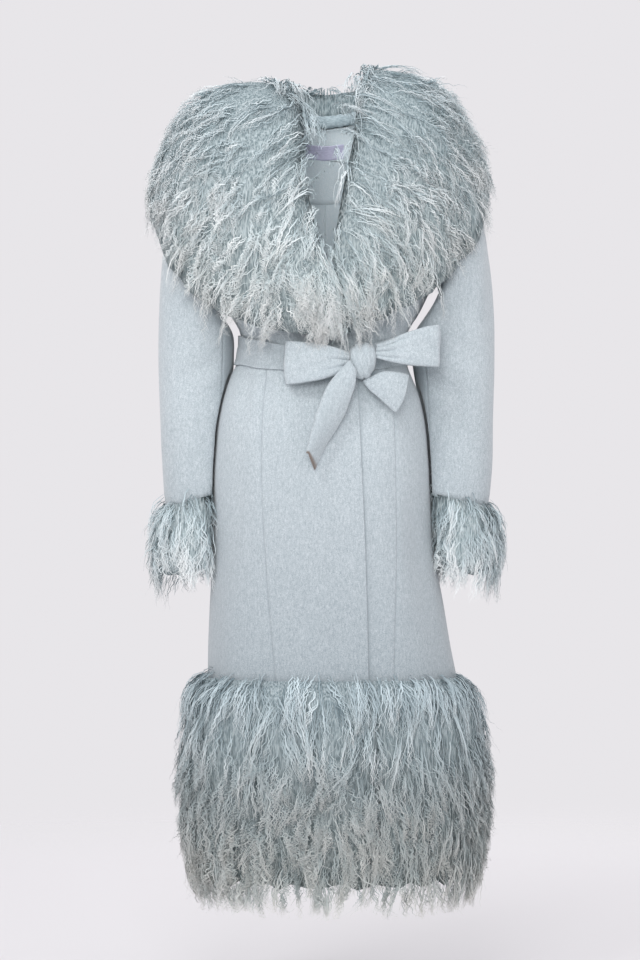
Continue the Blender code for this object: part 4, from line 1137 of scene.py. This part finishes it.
# collar sections from the front end to the centre back: roll, tips and fullness
collarColumns = ("row", "rollX", "rollY", "rollZ", "tipX", "tipY", "tipZ", "full")
collarForms = {
    "right": SmoothTable(collarColumns, [
        (0, 0.003, -0.132, -0.222, 0.038, -0.130, -0.326, 0.040),
        (1, -0.006, -0.132, -0.196, -0.012, -0.140, -0.329, 0.052),
        (2, -0.015, -0.124, -0.162, -0.066, -0.142, -0.326, 0.066),
        (3, -0.022, -0.110, -0.122, -0.120, -0.134, -0.311, 0.078),
        (4, -0.030, -0.094, -0.078, -0.166, -0.118, -0.290, 0.090),
        (5, -0.030, -0.074, -0.030, -0.207, -0.098, -0.256, 0.104),
        (6, -0.034, -0.046, 0.020, -0.241, -0.068, -0.206, 0.130),
        (7, -0.060, -0.006, 0.060, -0.262, -0.008, -0.146, 0.155),
        (8, -0.068, 0.034, 0.064, -0.246, 0.082, -0.176, 0.140),
        (9, -0.044, 0.060, 0.060, -0.160, 0.158, -0.228, 0.120),
        (10, 0.000, 0.068, 0.055, 0.000, 0.188, -0.250, 0.105),
    ]),
    "left": SmoothTable(collarColumns, [
        (0, 0.009, -0.132, -0.215, 0.047, -0.130, -0.320, 0.036),
        (1, 0.014, -0.128, -0.186, 0.074, -0.138, -0.312, 0.050),
        (2, 0.018, -0.120, -0.156, 0.104, -0.136, -0.296, 0.064),
        (3, 0.024, -0.108, -0.120, 0.136, -0.126, -0.280, 0.074),
        (4, 0.032, -0.092, -0.076, 0.166, -0.112, -0.258, 0.084),
        (5, 0.041, -0.072, -0.030, 0.193, -0.092, -0.230, 0.094),
        (6, 0.047, -0.044, 0.030, 0.224, -0.064, -0.182, 0.112),
        (7, 0.060, -0.004, 0.084, 0.238, -0.006, -0.112, 0.125),
        (8, 0.068, 0.034, 0.072, 0.222, 0.086, -0.170, 0.130),
        (9, 0.044, 0.060, 0.060, 0.150, 0.158, -0.228, 0.120),
        (10, 0.000, 0.068, 0.055, 0.000, 0.188, -0.250, 0.105),
    ]),
}

collarSizes = {
    "peakShare": 0.38,  # where between roll and tips the collar is fullest
    "rayStart": 0.03,
    "rayLength": 0.05,
    "linesPerRow": 8,
    "linePoints": 25,
    "shrink": 0.0035,  # how far the form beneath the locks is drawn in, and up at its border
    "raised": 0.005,
    "backTriangles": 86000,
}

collarFur = {
    "triangles": 152000,
    "curlShare": 0.52,
    "strandsPerLock": 9,
    "points": 12,
    "rootLow": 0.0,
    "rootHigh": 0.93,
    "edgeExtra": 5.0,  # more roots along the upper edge
    "length": 0.062,
    "lockWidth": 0.0090,
    "wavePitch": 0.020,
    "waveSwing": 0.0028,
    "rootWave": 0.45,
    "tighter": 0.35,
    "drift": 0.30,
    "swirl": 0.45,
    "frontEnd": 0.35,  # share of the collar over which the fur turns to fall straight down
    "fallPull": 0.16,
    "downPull": 1.05,
    "liftLow": -0.0035,
    "liftHigh": 0.0085,
    "unevenLift": 0.0025,
    "rootDepth": 0.007,
    "tuck": 0.008,
    "drawTogether": 0.62,
    "ragged": 0.026,
    "lowDrop": 0.050,  # longer fur towards the armholes
    "spill": 0.006,
    "overEdge": 0.012,
    "edgeCalm": 0.50,
    "upperWave": 0.60,  # waves are smaller high on the fur than low on it
    "leastSwing": 0.001,  # how far locks at the edge swing back before they fall
    "backSwing": 0.020,
    "stray": 0.0014,
    "strandWidth": 0.0015,
    "ownShading": 0.45,
    "toneSpread": 0.07,
}

curlFur = {
    "ownShading": 0.95,
    "toneSpread": 0.17,
    "strandsPerLock": 7,
    "points": 16,
    "rootLow": 0.30,
    "edgeExtra": 0.0,
    "length": 0.036,
    "lockWidth": 0.0070,
    "wavePitch": 0.0110,
    "waveSwing": 0.0023,
    "rootWave": 0.70,
    "tighter": 0.6,
    "drift": 0.34,
    "liftLow": 0.0,
    "liftHigh": 0.0105,
    "rootDepth": 0.004,
    "backSwing": 0.004,
    "strandWidth": 0.0013,
}


def collarPoints(form, row, share):
    roll, tip = (np.array([form.at(end + axis, row) for axis in "XYZ"]) for end in ("roll", "tip"))
    chord = tip - roll
    outward = unit(((roll + tip) / 2 - np.array([0.0, 0.01, 0.0])) * levelOnly) + 0.7 * upward
    along = unit(chord)
    normal = unit(outward - along * outward.dot(along))
    peak = roll + chord * collarSizes["peakShare"] + normal * form.at("full", row)
    s = share[:, None]
    points = roll * (1 - s) ** 2 + peak * 2 * s * (1 - s) + tip * s * s
    tangent = unit((peak - roll) * (1 - s) + (tip - peak) * s)
    return points, unit(normal - tangent * (tangent @ normal)[:, None])


def collarField(side, firstRow, lastRow):
    # the outer curve, brought to the solid's surface where a ray from outside meets it
    node = f"collar_{side}" if lastRow <= 8 else "collar_back"
    tree = BVHTree.FromObject(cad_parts[node], bpy.context.evaluated_depsgraph_get())
    away, deep = collarSizes["rayStart"], collarSizes["rayLength"]
    points, normals = [], []
    for row in np.linspace(firstRow, lastRow, round((lastRow - firstRow) * collarSizes["linesPerRow"]) + 1):
        line, out = collarPoints(collarForms[side], row, np.linspace(0, 1, collarSizes["linePoints"]))
        for k, (point, normal) in enumerate(zip(line, out)):
            hit, _, _, reach = tree.ray_cast(Vector(point + normal * away), Vector(-normal), deep)
            if hit is not None:
                line[k] = point + normal * (away - reach)
        points.append(line)
        normals.append(out)
    return np.array(points), np.array(normals)


def makeCollar(fur, pelt):
    fields = {side: FurField(*collarField(side, 0.0, 8.0)) for side in ("right", "left")}
    halves = zip(collarField("right", 8.0, 10.0), collarField("left", 8.0, 10.0))
    fields["back"] = FurField(*(np.concatenate([right, left[-2::-1]]) for right, left in halves))
    backFur = {**collarFur, "frontEnd": 0, "lowDrop": 0, "triangles": collarSizes["backTriangles"]}
    for index, (side, field) in enumerate(fields.items()):
        makePelt("collar_" + side, collarSizes["shrink"], pelt, collarSizes["raised"])
        growFur("collar_" + side, field, backFur if side == "back" else collarFur, fur, 11 + index)
    print("collar made")


hemForm = SmoothTable(
    ("z", "loft"),
    [
        (-0.8225, 0.0110), (-0.8480, 0.0270), (-0.9000, 0.0380), (-0.9650, 0.0420),
        (-1.0350, 0.0405), (-1.0900, 0.0330), (-1.1280, 0.0240), (-1.1500, 0.0150), (-1.1600, 0.0120),
    ],
)

hemFur = {
    **collarFur,
    "frontEnd": 0,
    "lowDrop": 0,
    "overEdge": 0.0,
    "rootHigh": 0.92,
    "edgeExtra": 4.0,
    "length": 0.070,
    "drift": 0.20,
    "swirl": 0.24,
    "fallPull": 1.0,
    "downPull": 0.4,
    "ragged": 0.018,
    "liftLow": -0.0045,
    "liftHigh": 0.0095,
    "backSwing": 0.014,
}

hemSizes = {
    "heights": (-0.8225, -1.160, 40),  # top, foot and number of lines
    "shrink": 0.0045,
    "raised": 0.022,
    # side, first edge, last edge, places round it, triangles
    "hem_back": ("back", -1.0, 1.0, 90, 112000),
    "hem_right": ("front", -1.0, "overEdge", 60, 125000),
    "hem_left": ("front", "overEdge", 1.0, 60, 85000),
}


def hemField(side, first, last, count):
    points = []
    for z in np.linspace(*hemSizes["heights"]):
        place = np.linspace(edgePlace(first, z), edgePlace(last, z), count)
        points.append(coatSkin(side, place, z, -float(hemForm.at("loft", z))))
    points = np.swapaxes(np.array(points), 0, 1)
    if side == "back":
        points = points[::-1]
    return points, gridNormals(points, points.mean(axis=(0, 1)) * np.array([0.5, 0.0, 1.0]))


def makeHem(fur, pelt):
    for index, name in enumerate(("hem_back", "hem_right", "hem_left")):
        *place, triangles = hemSizes[name]
        makePelt(name, hemSizes["shrink"], pelt, hemSizes["raised"])
        growFur(name, FurField(*hemField(*place)), {**hemFur, "triangles": triangles}, fur, 31 + index)
    print("hem made")


cuffForm = SmoothTable(
    ("drop", "loft"),
    [
        (-0.0040, 0.0080), (0.0200, 0.0160), (0.0550, 0.0205),
        (0.0850, 0.0190), (0.1120, 0.0110), (0.120, 0.0090),
    ],
)

cuffFur = {
    **collarFur,
    "frontEnd": 0,
    "lowDrop": 0,
    "overEdge": 0.002,
    "triangles": 46000,
    "curlShare": 0.0,
    "rootHigh": 0.88,
    "edgeExtra": 2.0,
    "length": 0.048,
    "waveSwing": 0.0024,
    "drift": 0.20,
    "liftLow": -0.003,
    "swirl": 0.25,
    "fallPull": 1.0,
    "downPull": 0.3,
    "rootDepth": 0.006,
    "backSwing": 0.010,
}

cuffSizes = {
    "drops": (-0.004, 0.118, 22),  # top, foot and number of lines, below the sleeve's edge
    "insideLoft": 0.12,  # share of the loft that is left on the body's side
    "skirtClearance": 0.0030,
    "shrink": 0.0030,
    "raised": 0.012,
}


def cuffField(sign):
    steps = np.linspace(0, 16, 65)
    inside = smoothStep(-np.cos(math.pi * steps / 8) * 1.6)
    points = []
    for drop in np.linspace(*cuffSizes["drops"]):
        ring = sleeveRing(sign, 10.0, steps, 0.0, drop)
        away = unit((ring - ring[:-1].mean(axis=0)) * levelOnly)
        out = float(cuffForm.at("loft", drop)) * mix(1.0, cuffSizes["insideLoft"], inside)
        points.append(clearOfSkirt(ring + away * out[:, None], cuffSizes["skirtClearance"]))
    points = np.swapaxes(np.array(points), 0, 1)
    return points, gridNormals(points, points[:-1].mean(axis=(0, 1)))


def makeCuffs(fur, pelt):
    for index, (sign, name) in enumerate(((-1, "cuff_right"), (1, "cuff_left"))):
        makePelt(name, cuffSizes["shrink"], pelt, cuffSizes["raised"], True)
        growFur(name, FurField(*cuffField(sign), wraps=True), cuffFur, fur, 51 + index)
    print("cuffs made")


# neck


neckSizes = {
    "facingGap": 0.0005,
    "facingWall": 0.0014,
    "facingFoot": 33.75,  # levels, in degrees of turn over the armhole
    "facingTop": 87.0,
    "facingReach": 4 / 9,
    "labelFoot": 56.6,
    "labelTop": 67.2,
    "labelReach": 0.089,
    "labelWall": 0.0009,
    "bandReach": 0.94,
    "bandInset": 0.0025,
    "bandHalfThickness": 0.0045,
    "bandHalfHeight": 0.0095,
}


def makeNeck(felt, satin, pile):
    s = neckSizes
    depth = bodySizes["wall"] + s["facingGap"]
    places = np.linspace(-s["facingReach"], s["facingReach"], 49)
    levels = np.linspace(s["facingFoot"], s["facingTop"], 44)
    grid = np.array([coatSkin("back", places, level, depth) for level in levels])
    grid[..., 1] -= s["facingWall"]
    # painted shade along the facing's lower edge, and painted light over the whole facing (pale 1.0)
    shade = np.zeros(grid.shape[:2])
    shade[:2] = 0.5
    behind = np.array([0.0, 0.5, -0.05])
    clothShell("neck_facing_felt", grid, s["facingWall"], felt, behind, shade, 1.0)
    places = np.linspace(-s["labelReach"], s["labelReach"], 25)
    front = depth + s["facingWall"] + s["facingGap"] + s["labelWall"]
    rows = []
    for level in np.linspace(s["labelFoot"], s["labelTop"], 13):
        bow = 0.0003 * np.cos(places / s["labelReach"] * math.pi * 2.2 + level * 0.15)
        rows.append(coatSkin("back", places, level, front) + pointsAt(0, bow, 0))
    clothShell("label_satin", np.array(rows), s["labelWall"], satin, behind)
    sections = []
    for turn in np.linspace(-s["bandReach"], s["bandReach"], 73) * math.pi / 2:
        out = np.array([math.sin(turn), math.cos(turn), 0.0])
        radius = np.array([bodySizes["neckHalfWidth"], bodySizes["neckBack"], 0.0]) * out
        foot = bodySizes["neckSideHeight"] * abs(math.sin(turn)) + 0.0007
        a = np.arange(16) * math.pi / 8
        swell = 1 + 0.05 * math.sin(turn * 23) + 0.04 * math.sin(turn * 41 + 1)
        away = s["bandInset"] + s["bandHalfThickness"] * swell * np.cos(a)
        rise = foot + s["bandHalfHeight"] * (1 + np.sin(a) * swell)
        sections.append(radius - out * away[:, None] + upward * rise[:, None])
    ringedPiece("neck_band_pile", sections, pile)
    print("neck made")


def ringedPiece(name, sections, look, valley=None, closed=False):
    # a solid through rings of points, joined end to end or with flat ends
    sections = np.array(sections)
    count, around = sections.shape[:2]
    i, k = np.meshgrid(np.arange(count if closed else count - 1), np.arange(around), indexing="ij")
    here, ahead = i.ravel() * around, (i.ravel() + 1) % count * around
    k, nextK = k.ravel(), (k.ravel() + 1) % around
    quads = np.stack([here + k, here + nextK, ahead + nextK, ahead + k], axis=1)
    points = sections.reshape(-1, 3)
    if not closed:
        centres = np.array([sections[0].mean(axis=0), sections[-1].mean(axis=0)])
        points = np.concatenate([points, centres])
        first, last = len(points) - 2, len(points) - 1
        m = np.arange(0, around, 2)
        foot = np.stack([m * 0 + first, (m + 2) % around, m + 1, m], axis=1)
        top = np.stack([m * 0 + last, m, m + 1, (m + 2) % around], axis=1)
        quads = np.concatenate([quads, foot, top + np.array([0, 1, 1, 1]) * (count - 1) * around])
    a, b, c, d = points[quads].swapaxes(0, 1)
    if np.sum(a * (np.cross(b, c) + np.cross(c, d))) < 0:  # its volume, where faces point inward
        quads = quads[:, ::-1]
    mesh = meshFromArrays(name, points, quads)
    dark = np.zeros(0) if valley is None else np.array(valley).ravel()
    setMark(mesh, "valley", np.append(dark, np.zeros(len(points) - dark.size)))
    return addPiece(name, mesh, look, [solidOf(name)])


# belt and bow


sashSizes = {
    "wall": 0.0030,
    "clearance": 0.0014,
    "halfWidth": 0.022,
    "height": -0.340,
    "frontDrop": 0.016,  # how far the sash hangs lower, and is narrower, at the middle of the front
    "frontThin": 0.003,
    "uneven": 0.0006,
    "spread": 0.0004,
    "knotCentre": (0.0550, -0.1171, -0.3600),
    "knotHalf": (0.0205, 0.0200, 0.0270),
    "knotTaper": 0.16,
    "knotSquareness": 2.5,
    "knotDeep": 0.022,
    "loopReach": 0.11,
    "ripple": 0.0007,
    "bentEdge": 0.0016,
    "puff": 0.0022,
    "swell": 0.0013,
    "tailWall": 0.0026,
    "tailBulge": 0.0045,
    "turnStart": 0.0075,  # the long tail's turned edge, behind its left border
    "turnEnd": 0.004,
    "turnDrop": 0.0005,
    "cutEdge": 0.0042,  # raw end of the long tail
    "shortBulge": 0.004,
    "roundEnd": 0.0045,
}

# lines that the sash is gathered along: place across it, slant and depth
beltFolds = [(0.34, 0.30, 0.0009), (-0.30, -0.42, 0.0008), (0.02, 0.66, 0.0006)]

# diagonal wraps of the knot: place at the middle, slant, bend, width and depth
knotWraps = [
    (-0.36, -0.42, 0.10, 0.085, 0.0024),
    (0.06, -0.30, -0.22, 0.060, 0.0016),
    (0.30, -0.52, 0.20, 0.085, 0.0026),
    (0.66, -0.30, 0.10, 0.070, 0.0015),
]

# rows along each loop
loopColumns = ("x", "y", "middle", "half", "pleat")
bowLoops = {
    "bow_loop_right": [
        (0.0353, -0.1130, -0.3610, 0.0120, 0.0010),
        (0.0080, -0.1122, -0.3630, 0.0200, 0.0006),
        (-0.0250, -0.1122, -0.3635, 0.0275, 0.0),
        (-0.0490, -0.1125, -0.3635, 0.0310, 0.0),
        (-0.0580, -0.1170, -0.3632, 0.0315, 0.0),
        (-0.0550, -0.1250, -0.3630, 0.0315, 0.0),
        (-0.0350, -0.1315, -0.3625, 0.0300, 0.0008),
        (-0.0050, -0.1350, -0.3620, 0.0260, 0.0020),
        (0.0180, -0.1330, -0.3610, 0.0190, 0.0028),
        (0.0353, -0.1255, -0.3605, 0.0125, 0.0024),
    ],
    "bow_loop_left": [
        (0.0747, -0.1115, -0.3450, 0.0100, 0.0010),
        (0.1000, -0.1100, -0.3440, 0.0190, 0.0006),
        (0.1300, -0.1105, -0.3410, 0.0260, 0.0),
        (0.1580, -0.1115, -0.3385, 0.0300, 0.0),
        (0.1665, -0.1165, -0.3380, 0.0305, 0.0),
        (0.1630, -0.1245, -0.3385, 0.0305, 0.0),
        (0.1420, -0.1310, -0.3400, 0.0280, 0.0008),
        (0.1150, -0.1345, -0.3430, 0.0225, 0.0020),
        (0.0940, -0.1320, -0.3455, 0.0160, 0.0026),
        (0.0747, -0.1235, -0.3460, 0.0105, 0.0022),
    ],
}

# creases running out of the knot: place across the sash, its shift outwards, width, depth, reach
loopCreases = {
    "bow_loop_right": [
        (-0.40, -0.20, 0.16, 0.0034, 0.85),
        (0.15, 0.10, 0.12, 0.0024, 0.55),
        (0.62, 0.14, 0.12, 0.0020, 0.70),
        (-0.78, -0.08, 0.10, 0.0012, 0.50),
    ],
    "bow_loop_left": [
        (0.50, 0.22, 0.13, 0.0032, 0.90),
        (-0.05, 0.16, 0.12, 0.0026, 0.70),
        (-0.55, -0.16, 0.14, 0.0028, 0.80),
        (0.85, 0.0, 0.10, 0.0010, 0.60),
    ],
}

# folds down the tails: place across, width, depth, and how far down they last, in rows
tailCreases = {
    "belt_tail_long": [(0.42, 0.10, 0.0016, 3.0)],
    "belt_tail_short": [(0.36, 0.09, 0.0022, 1.6), (0.70, 0.08, 0.0016, 1.6)],
}

longTail = SmoothTable(
    ("row", "leftX", "foldX", "rightX", "leftZ", "rightZ", "leftY", "rightY"),
    [
        (0, 0.0350, 0.0365, 0.0460, -0.3600, -0.3760, -0.1380, -0.1365),
        (1, 0.0160, 0.0190, 0.0435, -0.3800, -0.3970, -0.1454, -0.1375),
        (2, 0.0020, 0.0070, 0.0385, -0.3990, -0.4120, -0.1540, -0.1380),
        (3, -0.0105, -0.0040, 0.0280, -0.4300, -0.4400, -0.1580, -0.1350),
        (4, -0.0180, -0.0120, 0.0140, -0.4560, -0.4640, -0.1600, -0.1335),
        (5, -0.0245, -0.0200, -0.0010, -0.4800, -0.4880, -0.1610, -0.1330),
        (6, -0.0275, -0.0245, -0.0150, -0.4950, -0.5200, -0.1615, -0.1330),
    ],
)

shortTail = SmoothTable(
    ("row", "upperX", "upperZ", "lowerX", "lowerZ", "y"),
    [
        (0, 0.0690, -0.3835, 0.0550, -0.3892, -0.1180),
        (1, 0.0830, -0.3760, 0.0640, -0.4020, -0.1225),
        (2, 0.0970, -0.3755, 0.0770, -0.4130, -0.1240),
        (3, 0.1110, -0.3770, 0.0900, -0.4250, -0.1215),
        (4, 0.1230, -0.3800, 0.1030, -0.4360, -0.1160),
    ],
)


def sashStrip(name, middle, sash, thick, valley, raw=None):
    # a band of felt with soft rounded edges, thinner along them
    rows, columns = middle.shape[:2]
    normals = gridNormals(middle)
    across = np.linspace(-1, 1, columns)
    full = np.sqrt(np.clip(1 - np.abs(across) ** 5, 0.0, 1.0)) * 0.86 + 0.14
    half = (thick / 2 * full)[None, :, None]
    front, back = middle + normals * half, middle - normals * half
    points = np.concatenate([front.reshape(-1, 3), back.reshape(-1, 3)])
    count = rows * columns
    quads = gridQuads(rows, columns)
    i, j = gridRim(rows, columns)
    rim = i * columns + j
    after = np.roll(rim, -1)
    sides = np.stack([after, rim, rim + count, after + count], axis=1)
    faces = np.concatenate([quads, quads[:, ::-1] + count, sides])
    mesh = meshFromArrays(name, points, faces)
    setMark(mesh, "valley", np.concatenate([valley.ravel(), valley.ravel() * 0.5]))
    setMark(mesh, "raw", np.zeros(2 * count) if raw is None else np.concatenate([raw.ravel(), raw.ravel()]))
    addPiece(name + "_felt", mesh, sash, (name,))


def makeBelt(sash):
    s = sashSizes
    sections, valleyShades = [], []
    around = [("front", place) for place in np.linspace(-1, 1, 97)[:-1]]
    around += [("back", place) for place in np.linspace(1, -1, 85)[:-1]]
    a = np.arange(28) * 2 * math.pi / 28
    high, out = signedPower(np.sin(a), 2 / 0.8), signedPower(np.cos(a), 2 / 0.35)
    for index, (side, place) in enumerate(around):
        near = math.cos(place * math.pi / 2) if side == "front" else 0.0
        middle = s["height"] - s["frontDrop"] * near**2
        half = s["halfWidth"] - s["frontThin"] * near + s["uneven"] * math.sin(index * 0.31)
        fold = 0.0
        for line, slant, depth in beltFolds:
            gap = high - line - slant * math.sin(3.1 * place + line * 9)
            fold = fold + depth * bell(gap, 0.16) * (0.5 + 0.5 * math.sin(5 * place + slant * 12) ** 2)
        skin = s["clearance"] + s["wall"] / 2 * (1 + out) + np.where(out > 0, s["spread"] - fold, 0.0)
        sections.append(bodyRing(side, place + 0 * skin, middle + half * high, -skin))
        # painted shade in the sash's gathers
        valleyShades.append(np.where(out > 0, fold * 220, 0.0))
    return ringedPiece("belt_felt", sections, sash, np.clip(valleyShades, 0, 0.4), True)


def makeKnot(sash):
    s = sashSizes
    square = s["knotSquareness"]
    a = np.arange(72) * 2 * math.pi / 72
    sections, valleyShades = [], []
    for rise in np.linspace(-0.5, 0.5, 41)[1:-1] * math.pi:
        x, y, z = np.cos(a) * math.cos(rise), np.sin(a) * math.cos(rise), math.sin(rise) + 0 * a
        size = (np.abs(np.array([x, y, z])) ** square).sum(axis=0) ** (-1 / square)
        sunk = 0.0
        for place, slant, bend, width, depth in knotWraps:
            line = place + slant * z + bend * z * z
            sunk = sunk + depth * bell(x * size - line, width) * (1 - 0.6 * np.abs(z) ** 3)
        grow = size * (1 - sunk / s["knotDeep"])
        shape = pointsAt(x * (1 + s["knotTaper"] * (z - 0.3)), y, z)
        sections.append(shape * grow[:, None] * np.array(s["knotHalf"]) + np.array(s["knotCentre"]))
        # painted shade in the knot's wraps
        valleyShades.append(sunk / 0.0052)
    return ringedPiece("belt_knot_felt", sections, sash, valleyShades)


def makeLoops(sash):
    s = sashSizes
    along, across = np.linspace(0, 9, 76)[:, None], np.linspace(-1, 1, 33)[None, :]
    for name, places in bowLoops.items():
        table = SmoothTable(("row", *loopColumns), [(i, *place) for i, place in enumerate(places)])
        x, y, middle, half, pleat = (table.at(column, along) for column in loopColumns)
        sign = -1 if name == "bow_loop_right" else 1
        out = np.clip(sign * (x - s["knotCentre"][0]) / s["loopReach"], 0, 1)
        onFront = smoothStep((along - 4.4) / 0.8)
        sunk = 0.0
        for place, shift, width, depth, reach in loopCreases[name]:
            fade = smoothStep((reach - out) / reach * 1.6)
            sunk = sunk + depth * bell(across - place - shift * out, width * (0.7 + 0.8 * out)) * fade
        puff = s["puff"] * np.sin(math.pi * out) * (1 - across**2)
        swell = s["swell"] * np.sin(4.2 * across + 7.5 * out + 2 * sign) * out
        y = y + pleat * np.cos(1.5 * math.pi * across + 0.5) * (1 - 0.5 * onFront)
        y = y + onFront * (sunk * 1.1 - puff + swell)
        x = x + s["ripple"] * np.sin(across * 4 + along * 1.3)
        x = x - sign * s["bentEdge"] * across**2 * (out > 0.8)
        # painted shade in the loop's creases and over its lower half
        valley = onFront * (sunk / 0.0034 * 0.8 + 0.45 * smoothStep(-across - 0.1))
        sashStrip(name, pointsAt(x, y, middle + half * across), sash, s["wall"], valley)


def tailCrease(name, along, share):
    # folds that run out of the knot, down a tail
    depth = 0.0
    for place, width, most, reach in tailCreases[name]:
        depth = depth + most * bell(share - place, width) * np.exp(-along / reach)
    return depth


def makeTails(sash):
    s = sashSizes
    along, share = np.linspace(0, 6, 66)[:, None], np.linspace(0, 1, 25)[None, :]
    row = {column: longTail.at(column, along) for column in longTail.values}
    bulge = tailCrease("belt_tail_long", along, share) - s["tailBulge"] * np.sin(math.pi * share)
    x, z = mix(row["foldX"], row["rightX"], share), mix(row["leftZ"], row["rightZ"], share)
    main = pointsAt(x, mix(row["leftY"] + s["turnEnd"], row["rightY"], share) + bulge, z)
    # a narrow strip along the left edge is turned back
    turned = np.linspace(0, 1, 7)[None, :-1]
    y = row["leftY"] + mix(s["turnStart"], s["turnEnd"], np.sin(turned * math.pi / 2))
    z = mix(row["leftZ"] - s["turnDrop"], row["leftZ"], turned)
    grid = np.concatenate([pointsAt(mix(row["leftX"], row["foldX"], turned), y, z), main], axis=1)
    lengths = lengthOf(np.diff(grid[:, 12], axis=0))[:, 0]
    left = lengths.sum() - np.append(0, np.cumsum(lengths))
    raw = smoothStep(1.5 - left / s["cutEdge"])[:, None] + 0 * grid[..., 0]
    # painted shade along the fold of the turned edge, fading across the tail beside it
    valley = np.zeros(grid.shape[:2])
    valley[:, 6] = 0.9
    valley[:, 7:] = 0.45 * np.linspace(1, 0, grid.shape[1] - 7)
    sashStrip("belt_tail_long", grid, sash, s["tailWall"], valley, raw)

    along, share = np.linspace(0, 4, 40)[:, None], np.linspace(0, 1, 27)[None, :]
    row = {column: shortTail.at(column, along) for column in shortTail.values}
    crease = tailCrease("belt_tail_short", along, share)
    rounded = s["roundEnd"] * np.sin(math.pi * share**1.4) * smoothStep(along - 2.6)
    x, z = (mix(row["upper" + axis], row["lower" + axis], share) for axis in "XZ")
    grid = pointsAt(x + rounded, row["y"] - s["shortBulge"] * np.sin(math.pi * share) + crease, z)
    # painted shade in the short tail's creases
    sashStrip("belt_tail_short", grid, sash, s["wall"], crease / 0.0022 * 0.4)


def makeBow(sash):
    belt = makeBelt(sash)
    knot = makeKnot(sash)
    makeLoops(sash)
    makeTails(sash)
    print("belt and bow made")


setPicture()
makeFloor()
felt = makeFelt("felt")
makeBody(felt)
makeSleeves(felt)
satin, pile = makeSatin(), makePileLook()
makeNeck(felt, satin, pile)
# painted shade: the sash's felt is a slightly darker copy of the coat's felt, as the bow lies in shade
sash = makeFelt("sashFelt", -0.015)
makeBow(sash)
collarUnder = makePeltLook("collarUnderWool", *collarHeightShade)
# each piece's fur copy carries its own painted light and shade, through shift and its height shades
makeCollar(makeFurLook("collarFur", 0.05, 0.40, *collarHeightShade), collarUnder)
makeHem(makeFurLook("hemFur", -0.03, 0.70, *hemHeightShade), makePeltLook("hemUnderWool", *hemHeightShade))
makeCuffs(makeFurLook("cuffFur", 0.0, 0.30, *cuffHeightShade), makePeltLook("cuffUnderWool", *cuffPeltLightening))
